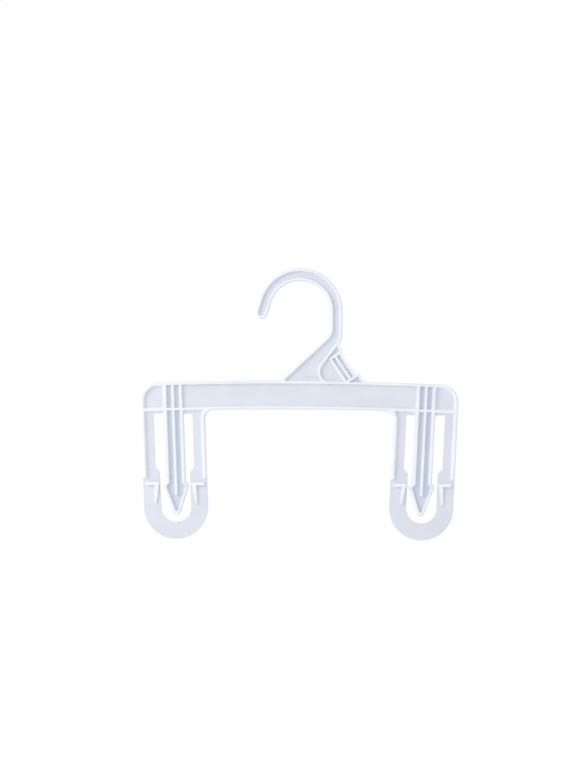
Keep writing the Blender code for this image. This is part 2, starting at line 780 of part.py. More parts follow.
def make_loop(name, side, hanger, cutters):
    """A clip's loop: a flat plate with rims, shelves and fins, bending about its root."""
    loop = slab(name, [sided(loop_outline(), side)], WEB / 2, hanger)
    for index, outline in enumerate([*loop_rims(), *shelves()]):
        rib = slab(f"{name}_rib_{index}", [sided(outline, side)], DEPTH / 2, cutters)
        hide_cutter(rib)
        combine(loop, rib, "UNION")
    for side_in_clip, place in ((-1, "inner"), (1, "outer")):
        combine(loop, fin(f"{name}_{place}_fin", side_in_clip, side, cutters), "UNION")
    cut_root(loop, LOOP_FLEX, side, cutters)
    dress(loop, CLIP_WHITE)
    hang_from(loop, hinge_empty(name + "_flex", side, hanger))


def make_tongue(name, side, hanger, cutters):
    """A clip's ribbed tongue with its arrowhead, bending about its root."""
    tongue = slab(name, [sided(tongue_outline(), side)], DEPTH / 2, hanger)
    cut_pockets(tongue, [sided(tongue_pocket(), side)], cutters)
    cut_root(tongue, TONGUE_FLEX, side, cutters)
    dress(tongue, CLIP_WHITE)
    hang_from(tongue, hinge_empty(name + "_flex", side, hanger))


def main():
    """Builds the hanger."""
    for item in list(bpy.data.objects):
        bpy.data.objects.remove(item)
    hanger = bpy.data.collections.new("trouser_hanger")
    cutters = bpy.data.collections.new("cutters")
    for collection in (hanger, cutters):
        bpy.context.scene.collection.children.link(collection)
    make_hook(hanger, cutters)
    make_neck(hanger, cutters)
    make_post(hanger, cutters)
    make_crossbar(hanger, cutters)
    for side, word in ((-1, "left"), (1, "right")):
        make_loop(word + "_loop", side, hanger, cutters)
        make_tongue(word + "_tongue", side, hanger, cutters)


main()
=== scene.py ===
"""Looks of a white trouser hanger that is moulded in one piece, with two spring clips.

Metres, +Z up. +X runs along the crossbar, to the right as seen from the front, and the front faces -Y.
Each member is drawn as a flat outline, raised to the moulding's section on its front half, rounded along
its edges, mirrored to the back and cut where it meets the next member.
"""

import logging
import math
from dataclasses import dataclass, replace
from enum import Enum
from typing import Callable

import bmesh
import bpy
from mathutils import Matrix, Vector

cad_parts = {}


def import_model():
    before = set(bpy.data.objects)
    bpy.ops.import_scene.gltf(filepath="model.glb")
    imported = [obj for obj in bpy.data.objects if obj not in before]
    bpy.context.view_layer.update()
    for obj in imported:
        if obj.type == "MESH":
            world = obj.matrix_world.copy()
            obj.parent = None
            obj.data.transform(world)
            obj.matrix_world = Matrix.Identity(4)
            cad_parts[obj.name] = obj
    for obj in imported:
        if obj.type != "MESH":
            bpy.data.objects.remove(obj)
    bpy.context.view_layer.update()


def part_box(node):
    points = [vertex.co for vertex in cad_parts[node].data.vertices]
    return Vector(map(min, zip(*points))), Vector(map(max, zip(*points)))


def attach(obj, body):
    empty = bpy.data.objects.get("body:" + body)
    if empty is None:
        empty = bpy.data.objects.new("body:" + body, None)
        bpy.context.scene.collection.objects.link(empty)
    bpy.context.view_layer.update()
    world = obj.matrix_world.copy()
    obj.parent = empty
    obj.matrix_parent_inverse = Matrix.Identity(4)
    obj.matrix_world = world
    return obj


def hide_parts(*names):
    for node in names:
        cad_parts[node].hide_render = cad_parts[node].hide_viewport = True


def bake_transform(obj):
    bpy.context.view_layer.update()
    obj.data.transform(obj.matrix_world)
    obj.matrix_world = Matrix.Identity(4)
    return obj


LOG = logging.getLogger("trouser_hanger")

# How much of a face's normal runs along an axis: where the face is square to the axis, where it looks more
# along the axis than across it, and where it stands beside the axis.
SQUARE = 0.999
FACING = 0.5
UPRIGHT = 0.01

Point = tuple[float, float]
Colour = tuple[float, float, float]


# Drawing and shaping

class Kind(Enum):
    """What a selection in edit mode holds."""

    VERTEX = "VERT"
    EDGE = "EDGE"
    FACE = "FACE"


class Axis(Enum):
    """The axes that flat faces are looked for on, by their place in a vector."""

    Y = 1
    Z = 2


class Change(Enum):
    """What other solids do to a piece."""

    ADD = "UNION"
    CUT = "DIFFERENCE"


class Side(Enum):
    """The side of the hanger that a clip hangs on, as seen from the front."""

    LEFT = -1
    RIGHT = 1

    @property
    def word(self) -> str:
        """The side's name as it stands in the names of nodes and bodies."""
        return self.name.lower()


@dataclass(frozen=True)
class Corner:
    """A corner of an outline in the XZ plane, sharp, or rounded by an arc."""

    x: float
    z: float
    round: float = 0.0

    @property
    def first(self) -> Point:
        """Where the outline aims at on its way in."""
        return self.x, self.z

    @property
    def last(self) -> Point:
        """Where the outline comes from on its way out."""
        return self.x, self.z


@dataclass(frozen=True)
class Sweep:
    """A run of an outline along a circle, from one angle to another, measured from +X towards +Z."""

    x: float
    z: float
    radius: float
    start: float
    end: float

    def at(self, angle: float) -> Point:
        """The circle's point at an angle."""
        return self.x + self.radius * math.cos(angle), self.z + self.radius * math.sin(angle)

    @property
    def first(self) -> Point:
        """Where the run starts."""
        return self.at(self.start)

    @property
    def last(self) -> Point:
        """Where the run ends."""
        return self.at(self.end)


Path = list[Corner | Sweep]


def unit(a: Point, b: Point) -> Point:
    """The direction from point a to point b."""
    length = math.hypot(b[0] - a[0], b[1] - a[1])
    return (b[0] - a[0]) / length, (b[1] - a[1]) / length


def round_off(before: Point, corner: Point, after: Point, radius: float) -> Sweep:
    """The arc that rounds a corner between its two neighbours.

    Args:
        before: The point that the outline comes from.
        corner: The sharp corner.
        after: The point that the outline goes to.
        radius: The arc's radius.

    Returns:
        The arc, tangent to both sides of the corner.
    """
    ux, uz = unit(corner, before)
    vx, vz = unit(corner, after)
    half = math.acos(max(-1.0, min(1.0, ux * vx + uz * vz))) / 2
    bx, bz = unit((0.0, 0.0), (ux + vx, uz + vz))
    cx = corner[0] + bx * radius / math.sin(half)
    cz = corner[1] + bz * radius / math.sin(half)
    tangent = radius / math.tan(half)
    start = math.atan2(corner[1] + uz * tangent - cz, corner[0] + ux * tangent - cx)
    end = math.atan2(corner[1] + vz * tangent - cz, corner[0] + vx * tangent - cx)
    turn = (end - start + math.pi) % (2 * math.pi) - math.pi
    return Sweep(cx, cz, radius, start, start + turn)


def pick(*pieces: bpy.types.Object) -> None:
    """Selects only these objects and makes the first one active.

    Args:
        *pieces: The objects.
    """
    bpy.ops.object.select_all(action="DESELECT")
    for piece in pieces:
        piece.select_set(True)
    bpy.context.view_layer.objects.active = pieces[0]


def edit(piece: bpy.types.Object) -> None:
    """Opens one object in edit mode with all of it selected.

    Args:
        piece: The object.
    """
    pick(piece)
    bpy.ops.object.mode_set(mode="EDIT")
    bpy.ops.mesh.select_all(action="SELECT")


def done() -> None:
    """Leaves edit mode."""
    bpy.ops.object.mode_set(mode="OBJECT")


def shift(step: float) -> None:
    """Moves what is selected in edit mode along Y."""
    bpy.ops.transform.translate(value=(0.0, step, 0.0))


def extrude(step: float) -> None:
    """Extrudes what is selected in edit mode along Y."""
    bpy.ops.mesh.extrude_region_move(TRANSFORM_OT_translate={"value": (0.0, step, 0.0)})


def lies_square(face: bmesh.types.BMFace, axis: Axis, at: float, near: float) -> bool:
    """Whether a face is square to an axis at a place on it.

    Args:
        face: The face.
        axis: The axis.
        at: The place on the axis.
        near: How far from there the face's middle may lie.

    Returns:
        True for such a face.
    """
    middle = face.calc_center_median()
    return abs(face.normal[axis.value]) > SQUARE and abs(middle[axis.value] - at) < near


def choose(piece: bpy.types.Object, kind: Kind, test: Callable[..., bool]) -> int:
    """Selects the vertices, edges or faces of a piece in edit mode that pass a test, and nothing else.

    Args:
        piece: The object in edit mode.
        kind: What is selected.
        test: Says whether one vertex, edge or face is wanted.

    Returns:
        How many were selected.
    """
    bpy.ops.mesh.select_mode(type=kind.value)
    bpy.ops.mesh.select_all(action="DESELECT")
    mesh = bmesh.from_edit_mesh(piece.data)
    items = {Kind.VERTEX: mesh.verts, Kind.EDGE: mesh.edges, Kind.FACE: mesh.faces}[kind]
    wanted = [item for item in items if test(item)]
    for item in wanted:
        item.select_set(True)
    bmesh.update_edit_mesh(piece.data)
    return len(wanted)


def apply_modifier(piece: bpy.types.Object, kind: str, **settings: object) -> None:
    """Adds a modifier to a piece, sets it and applies it.

    Args:
        piece: The object.
        kind: The modifier's type.
        **settings: The modifier's properties and their values.
    """
    pick(piece)
    modifier = piece.modifiers.new(kind.lower(), kind)
    for key, value in settings.items():
        setattr(modifier, key, value)
    bpy.ops.object.modifier_apply(modifier=modifier.name)


class Pen:
    """Draws a flat outline in the XZ plane, extruding a vertex along lines and spinning it along arcs.

    The first vertex is a plane of the size SPECK, merged to a point. Lines shorter than NEAR are left out.
    """

    ARC_STEP = math.radians(5.0)
    SPECK = 1e-4
    NEAR = 1e-7

    def __init__(self, name: str, start: Point) -> None:
        """Starts an object with a single vertex.

        Args:
            name: The object's name.
            start: The vertex's place.
        """
        bpy.ops.object.select_all(action="DESELECT")
        bpy.ops.mesh.primitive_plane_add(size=self.SPECK, location=(start[0], 0.0, start[1]))
        self.piece = bpy.context.active_object
        self.piece.name = name
        self.piece.data.name = name
        bpy.ops.object.transform_apply(location=True, rotation=True, scale=True)
        bpy.ops.object.mode_set(mode="EDIT")
        bpy.ops.mesh.select_mode(type=Kind.VERTEX.value)
        bpy.ops.mesh.select_all(action="SELECT")
        bpy.ops.mesh.merge(type="CENTER")
        self.place = start

    def line(self, to: Point) -> None:
        """Draws a straight line to a point.

        Args:
            to: The point.
        """
        step = (to[0] - self.place[0], 0.0, to[1] - self.place[1])
        if math.hypot(*step) < self.NEAR:
            return
        bpy.ops.mesh.extrude_vertices_move(TRANSFORM_OT_translate={"value": step})
        self.place = to

    def sweep(self, run: Sweep) -> None:
        """Draws a line to an arc's start and then the arc.

        Args:
            run: The arc.
        """
        self.line(run.first)
        turn = run.end - run.start
        steps = max(2, math.ceil(abs(turn) / self.ARC_STEP))
        axis = (0.0, math.copysign(1.0, turn), 0.0)
        bpy.ops.mesh.spin(steps=steps, angle=abs(turn), center=(run.x, 0.0, run.z), axis=axis)
        self.place = run.last

    def close(self) -> bpy.types.Object:
        """Closes the outline and fills it with one face that looks to the front.

        Returns:
            The object, still in edit mode, with its face selected.
        """
        choose(self.piece, Kind.VERTEX, lambda v: len(v.link_edges) == 1)
        bpy.ops.mesh.edge_face_add()
        bpy.ops.mesh.select_all(action="SELECT")
        bpy.ops.mesh.edge_face_add()
        if choose(self.piece, Kind.FACE, lambda f: f.normal.y > 0):
            bpy.ops.mesh.flip_normals()
        bpy.ops.mesh.select_all(action="SELECT")
        return self.piece


def draw(name: str, path: Path) -> bpy.types.Object:
    """Draws a closed outline through corners and arcs.

    Args:
        name: The new object's name.
        path: The outline's steps. The first one is a sharp corner.

    Returns:
        The object with one flat face at Y = 0, in edit mode, with the face selected.
    """
    pen = Pen(name, path[0].first)
    for index, step in enumerate(path[1:], start=1):
        if isinstance(step, Sweep):
            pen.sweep(step)
        elif step.round:
            after = path[(index + 1) % len(path)].first
            pen.sweep(round_off(path[index - 1].last, (step.x, step.z), after, step.round))
        else:
            pen.line((step.x, step.z))
    return pen.close()


# The moulding's section and the places that several members share

@dataclass(frozen=True)
class Section:
    """The section of rims and ribs, as moulded: full depth, drafted sides and a thin web."""

    half_depth: float
    half_web: float = 0.0010
    draft: float = 0.0010
    inner_draft: float = 0.0006
    leg_draft: float = 0.0012
    rim_top: float = 0.0015
    edge_round: float = 0.00025
    edge_segments: int = 2
    edge_angle: float = math.radians(33.0)
    overcut: float = 0.0010
    weld: float = 0.00002
    flat_angle: float = math.radians(0.05)
    slim_rim_top: float = 0.0011
    channel_half_web: float = 0.0006
    channel_rib_top: float = 0.0018
    level_size: float = 0.5

    @property
    def ribbed(self) -> "Section":
        """The section of the clips' tongues, with a thinner web between wider ribs."""
        return replace(self, half_web=self.channel_half_web, rim_top=self.channel_rib_top)

    @property
    def slim(self) -> "Section":
        """The section of the hook and the neck, with thinner rims."""
        return replace(self, rim_top=self.slim_rim_top)

    @property
    def recess(self) -> float:
        """How deep the web lies below the rims' tops."""
        return self.half_depth - self.half_web

    @property
    def edge(self) -> float:
        """How far a rim's inner top edge lies from the member's outer edge."""
        return self.draft + self.rim_top

    @property
    def foot(self) -> float:
        """How far a rim's inner foot lies from the member's outer edge."""
        return self.edge + self.inner_draft

    def plate(self) -> None:
        """Extrudes the selected flat face, still at Y = 0, to the front of the web."""
        extrude(-self.half_web)

    def stud(self, past: float = 0.0) -> None:
        """Extrudes the selected flat face, still at Y = 0, from within the web to its front or past it."""
        shift(-self.half_web / 2)
        extrude(-self.half_web / 2 - past)

    def raise_up(self, draft: float | None = None) -> None:
        """Raises the selected faces from the web's front to full depth, with drafted sides."""
        bpy.ops.mesh.inset(thickness=self.draft if draft is None else draft, depth=self.recess)

    def sink(self) -> None:
        """Leaves a rim round the selected top face and sinks the rest of it to the web."""
        bpy.ops.mesh.inset(thickness=self.rim_top, depth=0.0)
        bpy.ops.mesh.inset(thickness=self.inner_draft, depth=-self.recess)

    def block(self, name: str, path: Path, draft: float | None = None) -> bpy.types.Object:
        """A solid front half of full depth from an outline, closed at Y = 0.

        Args:
            name: The new object's name.
            path: The outline at the web.
            draft: How far the sides lean in, or None for the usual draft.

        Returns:
            The closed half in object mode.
        """
        piece = draw(name, path)
        self.plate()
        self.raise_up(draft)
        done()
        self.turn_out(piece)
        return piece

    def pocket(self, name: str, path: Path, draft: float | None = None) -> bpy.types.Object:
        """A cutter for a recess down to the web.

        Args:
            name: The new object's name.
            path: The recess's outline at the rims' tops.
            draft: How far its sides lean in, or None for the usual draft.

        Returns:
            The closed cutter in object mode.
        """
        piece = draw(name, path)
        shift(-self.half_depth)
        bpy.ops.mesh.inset(thickness=self.inner_draft if draft is None else draft, depth=-self.recess)
        choose(piece, Kind.EDGE, lambda e: e.is_boundary)
        extrude(-self.overcut)
        choose(piece, Kind.EDGE, lambda e: e.is_boundary)
        bpy.ops.mesh.edge_face_add()
        done()
        self.turn_out(piece)
        return piece

    @staticmethod
    def turn_out(piece: bpy.types.Object) -> None:
        """Makes all faces of a closed piece point outwards.

        Args:
            piece: The piece, in object mode.
        """
        edit(piece)
        bpy.ops.mesh.normals_make_consistent(inside=False)
        done()

    def combine(self, piece: bpy.types.Object, change: Change, others: list[bpy.types.Object]) -> None:
        """Joins other solids to a piece or cuts them away, one after the other, and removes them.

        Args:
            piece: The piece that is changed.
            change: What the others do to it.
            others: The other solids.
        """
        for other in others:
            apply_modifier(piece, "BOOLEAN", operation=change.value, solver="EXACT", object=other)
            bpy.data.meshes.remove(other.data)
        edit(piece)
        bpy.ops.mesh.remove_doubles(threshold=self.weld)
        bpy.ops.mesh.dissolve_limited(angle_limit=self.flat_angle)
        done()

    def finish_half(self, piece: bpy.types.Object) -> None:
        """Opens a front half at Y = 0, rounds its edges and mirrors it to the back.

        Args:
            piece: The front half.
        """
        edit(piece)
        choose(piece, Kind.FACE, lambda f: lies_square(f, Axis.Y, 0.0, self.weld))
        bpy.ops.mesh.delete(type="FACE")
        done()
        apply_modifier(
            piece, "BEVEL", width=self.edge_round, segments=self.edge_segments, limit_method="ANGLE",
            angle_limit=self.edge_angle, use_clamp_overlap=False, miter_outer="MITER_ARC",
        )
        apply_modifier(piece, "MIRROR", use_axis=(False, True, False), merge_threshold=self.weld)
        self.turn_out(piece)

    def level_cutter(self, name: str, z: float, above: bool) -> bpy.types.Object:
        """A big block above or below a height, to cut a front half off level.

        Args:
            name: The new object's name.
            z: The height.
            above: Whether the block lies above the height.

        Returns:
            The block.
        """
        half = self.level_size / 2
        middle = z + half if above else z - half
        bpy.ops.object.select_all(action="DESELECT")
        bpy.ops.mesh.primitive_cube_add(size=self.level_size, location=(0.0, 0.0, middle))
        block = bpy.context.active_object
        block.name = name
        bpy.ops.object.transform_apply(location=True, rotation=True, scale=True)
        return block

    def open_at(self, piece: bpy.types.Object, heights: tuple[float, ...]) -> None:
        """Takes away the level faces of cuts, so that the edges round them stay sharp.

        Args:
            piece: The front half.
            heights: The heights of the cuts.
        """
        edit(piece)
        choose(piece, Kind.FACE, lambda f: any(lies_square(f, Axis.Z, z, self.weld) for z in heights))
        bpy.ops.mesh.delete(type="FACE")
        done()

    def close(self, piece: bpy.types.Object) -> None:
        """Closes the openings that open_at left.

        Args:
            piece: The mirrored piece.
        """
        edit(piece)
        choose(piece, Kind.EDGE, lambda e: e.is_boundary)
        bpy.ops.mesh.fill_holes(sides=0)
        done()
        self.turn_out(piece)

    @staticmethod
    def cut(piece: bpy.types.Object, z: float, above: bool) -> None:
        """Cuts a piece level at a height, keeps one side and closes the cut.

        Args:
            piece: The piece.
            z: The height.
            above: Whether the side above the height is kept.
        """
        edit(piece)
        bpy.ops.mesh.bisect(
            plane_co=(0.0, 0.0, z), plane_no=(0.0, 0.0, 1.0), use_fill=True,
            clear_inner=above, clear_outer=not above,
        )
        done()

    @staticmethod
    def score(piece: bpy.types.Object, heights: list[float]) -> None:
        """Cuts extra edges across a piece.

        Args:
            piece: The piece.
            heights: The heights of the cuts.
        """
        edit(piece)
        for z in heights:
            bpy.ops.mesh.select_all(action="SELECT")
            bpy.ops.mesh.bisect(plane_co=(0.0, 0.0, z), plane_no=(0.0, 0.0, 1.0))
        done()


@dataclass(frozen=True)
class Layout:
    """Sizes and places that several members share.

    A stretch says how far the straight sides of a rounded corner are drawn, in sizes of its round.
    The passes are how often a meeting point with the arched bar is worked out again.
    """

    half_width: float
    foot_cut: float
    hook_cut: float
    root: float
    hook_radius: float = 0.0235
    hook_band: float = 0.0100
    neck_length: float = 0.0549
    inner_bend: float = 0.0180
    outer_bend: float = 0.0228
    inner_lean: float = math.radians(46.8)
    outer_lean: float = math.radians(36.7)
    foot_round: float = 0.0090
    heel_round: float = 0.0073
    bar_height: float = 0.0226
    bar_rise: float = 0.0027
    corner_round: float = 0.0142
    arch_step: float = 0.010
    clip_spacing: float = 0.1925
    clip_length: float = 0.0771
    loop_width: float = 0.0505
    leg_width: float = 0.0101
    slot_width: float = 0.0071
    leg_fillet: float = 0.0070
    tongue_shift: float = 0.0005
    middle_rib_top: float = 0.0015
    heel_stretch: float = 1.2
    fillet_stretch: float = 3.0
    passes: int = 4

    @property
    def hook_centre(self) -> float:
        """Height of the hook's centre. The rail seat above it is the origin."""
        return -self.hook_radius

    @property
    def bar_top_z(self) -> float:
        """Height of the bar's top edge at the middle of the hanger."""
        return self.hook_centre - self.neck_length

    @property
    def jaw_z(self) -> float:
        """Height of the centre of the clips' round jaws."""
        return self.bar_top_z - self.bar_height - self.clip_length

    @property
    def half_loop(self) -> float:
        """Half the width of a clip's loop."""
        return self.loop_width / 2

    @property
    def half_slots(self) -> float:
        """Half the width between a clip's legs."""
        return self.half_loop - self.leg_width

    @property
    def half_tongue(self) -> float:
        """Half the width of a clip's tongue."""
        return self.half_slots - self.slot_width

    def bar_top(self, x: float) -> float:
        """Height of the arched bar's top edge."""
        return self.bar_top_z - self.bar_rise * (x / self.half_width) ** 2

    def bar_bottom(self, x: float) -> float:
        """Height of the arched bar's bottom edge."""
        return self.bar_top(x) - self.bar_height

    @property
    def lean(self) -> float:
        """Slope of the clips, which brings their outer legs to the overall width at the bar's corners."""
        corner_z = self.bar_top(self.half_width) - self.corner_round
        return (self.half_width - self.clip_spacing / 2 - self.half_loop) / (corner_z - self.jaw_z)

    def clip_x(self, z: float, offset: float = 0.0) -> float:
        """X of the right clip's leaning centre line at a height, or of a line beside it."""
        return self.clip_spacing / 2 + (z - self.jaw_z) * self.lean + offset

    def on_bar(self, edge: Callable[[float], float], offset: float, margin: float = 0.0) -> Point:
        """The point where a line of the right clip meets an edge of the bar.

        Args:
            edge: The height of the bar's edge by X.
            offset: The line's offset from the clip's centre line.
            margin: How far above the edge the point lies.

        Returns:
            The point.
        """
        x = self.clip_x(self.bar_top_z, offset)
        for _ in range(self.passes):
            x = self.clip_x(edge(x) + margin, offset)
        return x, edge(x) + margin

    def along_bar(
        self, edge: Callable[[float], float], start: float, end: float, margin: float = 0.0
    ) -> Path:
        """Corners along an arched edge of the bar.

        Args:
            edge: The height of the bar's edge by X.
            start: X of the first corner.
            end: X of the last corner.
            margin: How far above the edge the corners lie.

        Returns:
            The corners.
        """
        steps = max(1, round(abs(end - start) / self.arch_step))
        xs = [start + (end - start) * i / steps for i in range(steps + 1)]
        return [Corner(x, edge(x) + margin) for x in xs]

    @property
    def stem_outer_x(self) -> float:
        """X of the stem's right edge, where the neck's right edge starts."""
        return self.hook_radius + self.hook_band

    def neck_inner_x(self, z: float) -> float:
        """X of the neck's left edge at a height."""
        return self.hook_radius + (z - self.hook_centre + self.inner_bend) * math.tan(self.inner_lean)

    def neck_outer_x(self, z: float, clearance: float = 0.0) -> float:
        """X of the neck's right edge at a height, or of a line clearance outside it."""
        rise = z - self.hook_centre + self.outer_bend
        return self.stem_outer_x + rise * math.tan(self.outer_lean) + clearance / math.cos(self.outer_lean)

    @property
    def heel_reach(self) -> float:
        """How far the heel's round reaches along the bar from the neck's right edge."""
        return self.heel_round / math.tan((math.pi / 2 - self.outer_lean) / 2)

    @property
    def heel_run(self) -> float:
        """How far the bar's top is drawn level past the heel's corner."""
        return self.heel_stretch * self.heel_reach

    @property
    def fillet_run(self) -> float:
        """How far straight sides are drawn past the corner between an inner leg and the bar."""
        return self.fillet_stretch * self.leg_fillet

    def heel_arc(self, radius: float) -> Sweep:
        """An arc about the centre of the round between the neck's right edge and the bar's top edge.

        Args:
            radius: The arc's radius.

        Returns:
            The arc, over the same angles as the round.
        """
        heel_x, reach = self.neck_outer_x(self.bar_top_z), self.heel_reach
        high = self.bar_top_z + reach
        arc = round_off(
            (self.neck_outer_x(high), high), (heel_x, self.bar_top_z), (heel_x + reach, self.bar_top_z),
            self.heel_round,
        )
        return Sweep(arc.x, arc.z, radius, arc.start, arc.end)

    def leg_fillet_arc(self, radius: float) -> Sweep:
        """An arc about the centre of the round between the right clip's inner leg and the bar's bottom.

        Args:
            radius: The arc's radius.

        Returns:
            The arc, over the same angles as the round.
        """
        corner = self.on_bar(self.bar_bottom, -self.half_loop)
        low = corner[1] - self.fillet_run
        below = (self.clip_x(low, -self.half_loop), low)
        left = corner[0] - self.fillet_run
        arc = round_off(below, corner, (left, self.bar_bottom(left)), self.leg_fillet)
        return Sweep(arc.x, arc.z, radius, arc.start, arc.end)

    def rib_tops(self, section: Section) -> list[Point]:
        """Offsets of the left and right edges of the tops of the right tongue's three ribs.

        Args:
            section: The tongue's section.

        Returns:
            The two offsets from the clip's centre line for each rib.
        """
        near = self.half_tongue - section.draft
        middle = self.middle_rib_top / 2
        spans = [(-near, section.rim_top - near), (-middle, middle), (near - section.rim_top, near)]
        return [(left - self.tongue_shift, right - self.tongue_shift) for left, right in spans]


# Finishes

def add_node(
    tree: bpy.types.NodeTree, kind: str, inputs: dict[str | int, object] | None = None, **settings: object
) -> bpy.types.Node:
    """Adds a node to a material or a group.

    Args:
        tree: The material's or group's nodes.
        kind: The node's type.
        inputs: What its inputs take, each an output of another node or a plain value.
        **settings: The node's own properties and their values.

    Returns:
        The node.
    """
    node = tree.nodes.new(kind)
    for key, value in settings.items():
        setattr(node, key, value)
    for key, value in (inputs or {}).items():
        if isinstance(value, bpy.types.NodeSocket):
            tree.links.new(value, node.inputs[key])
        else:
            node.inputs[key].default_value = value
    return node


def reckon(
    tree: bpy.types.NodeTree, operation: str, *inputs: bpy.types.NodeSocket | float
) -> bpy.types.NodeSocket:
    """Adds a math node and gives its output."""
    return add_node(tree, "ShaderNodeMath", dict(enumerate(inputs)), operation=operation).outputs[0]


class ShaderGroups:
    """Effects that the hanger's finishes share, each built once as a node group."""

    CLOUD_DETAIL = 3.0
    CLOUD_MIDDLE = 0.5
    CLOUD_SPREAD = 0.25
    GRAIN_DETAIL = 2.0
    STROKE_SCALE = (60.0, 60.0, 1800.0)

    @staticmethod
    def new(name: str, inputs: dict[str, float], output: str) -> bpy.types.NodeTree:
        """Starts a group whose sockets are all plain numbers.

        Args:
            name: The group's name.
            inputs: The default of each input.
            output: The output's name.

        Returns:
            The node tree, with its input and output nodes named Group Input and Group Output.
        """
        tree = bpy.data.node_groups.new(name, "ShaderNodeTree")
        for key, value in inputs.items():
            socket = tree.interface.new_socket(key, in_out="INPUT", socket_type="NodeSocketFloat")
            socket.default_value = value
        tree.interface.new_socket(output, in_out="OUTPUT", socket_type="NodeSocketFloat")
        tree.nodes.new("NodeGroupInput")
        tree.nodes.new("NodeGroupOutput")
        return tree

    @classmethod
    def thickness(cls, half_depth: float) -> bpy.types.NodeTree:
        """The wall's tone by depth, partly how milky the wall is and partly painted shade and light: how
        far a surface lies from the middle plane, so that recessed webs and channels come out darker, and
        more on side walls, which are painted lighter as if light bounced onto them.

        Args:
            half_depth: How far the rims' tops lie from the middle plane.

        Returns:
            The group, which puts out Deep, from 0 at the middle plane to 1 at full depth.
        """
        defaults = {"Half depth": half_depth, "Flat": 0.95, "Steep": 0.55, "Sides": 0.7}
        tree = cls.new("Depth shade", defaults, "Deep")
        given = tree.nodes["Group Input"].outputs
        place = add_node(tree, "ShaderNodeTexCoord")
        amounts = {}
        for source in ("Object", "Normal"):
            split = add_node(tree, "ShaderNodeSeparateXYZ", {0: place.outputs[source]})
            amounts[source] = reckon(tree, "ABSOLUTE", split.outputs["Y"])
        share = reckon(tree, "DIVIDE", amounts["Object"], given["Half depth"])
        # Steep walls are painted lighter, as if light bounced up onto them.
        steep = add_node(tree, "ShaderNodeMapRange", {
            "Value": amounts["Normal"],
            "From Min": given["Flat"],
            "From Max": given["Steep"],
            "To Max": given["Sides"],
        })
        deeper = reckon(tree, "MAXIMUM", share, steep.outputs["Result"])
        tree.links.new(deeper, tree.nodes["Group Output"].inputs["Deep"])
        return tree

    @classmethod
    def mottle(cls) -> bpy.types.NodeTree:
        """A soft cloudy mask, as where the melt flowed a little faster or slower.

        Returns:
            The group, which puts out Mask, between 0 and 1.
        """
        tree = cls.new("Flow mottle", {"Scale": 60.0, "Contrast": 1.0}, "Mask")
        given = tree.nodes["Group Input"].outputs
        place = add_node(tree, "ShaderNodeTexCoord")
        noise = add_node(tree, "ShaderNodeTexNoise", {
            "Vector": place.outputs["Object"],
            "Scale": given["Scale"],
            "Detail": cls.CLOUD_DETAIL,
        })
        spread = reckon(tree, "DIVIDE", cls.CLOUD_SPREAD, given["Contrast"])
        mask = add_node(tree, "ShaderNodeMapRange", {
            "Value": noise.outputs["Fac"],
            "From Min": reckon(tree, "SUBTRACT", cls.CLOUD_MIDDLE, spread),
            "From Max": reckon(tree, "ADD", cls.CLOUD_MIDDLE, spread),
        }, interpolation_type="SMOOTHSTEP")
        tree.links.new(mask.outputs["Result"], tree.nodes["Group Output"].inputs["Mask"])
        return tree

    @classmethod
    def grain(cls) -> bpy.types.NodeTree:
        """The fine matt grain of the mould's surface, with long faint polishing strokes.

        Returns:
            The group, which puts out Height.
        """
        tree = cls.new("Mould grain", {"Scale": 2600.0, "Strokes": 0.35}, "Height")
        given = tree.nodes["Group Input"].outputs
        place = add_node(tree, "ShaderNodeTexCoord")
        fine = add_node(tree, "ShaderNodeTexNoise", {
            "Vector": place.outputs["Object"],
            "Scale": given["Scale"],
            "Detail": cls.GRAIN_DETAIL,
        })
        stretch = add_node(tree, "ShaderNodeMapping", {
            "Vector": place.outputs["Object"],
            "Scale": cls.STROKE_SCALE,
        })
        strokes = add_node(tree, "ShaderNodeTexNoise", {
            "Vector": stretch.outputs["Vector"],
            "Scale": 1.0,
            "Detail": cls.GRAIN_DETAIL,
        })
        blend = add_node(tree, "ShaderNodeMix", {
            "Factor": given["Strokes"],
            "A": fine.outputs["Fac"],
            "B": strokes.outputs["Fac"],
        })
        tree.links.new(blend.outputs["Result"], tree.nodes["Group Output"].inputs["Height"])
        return tree


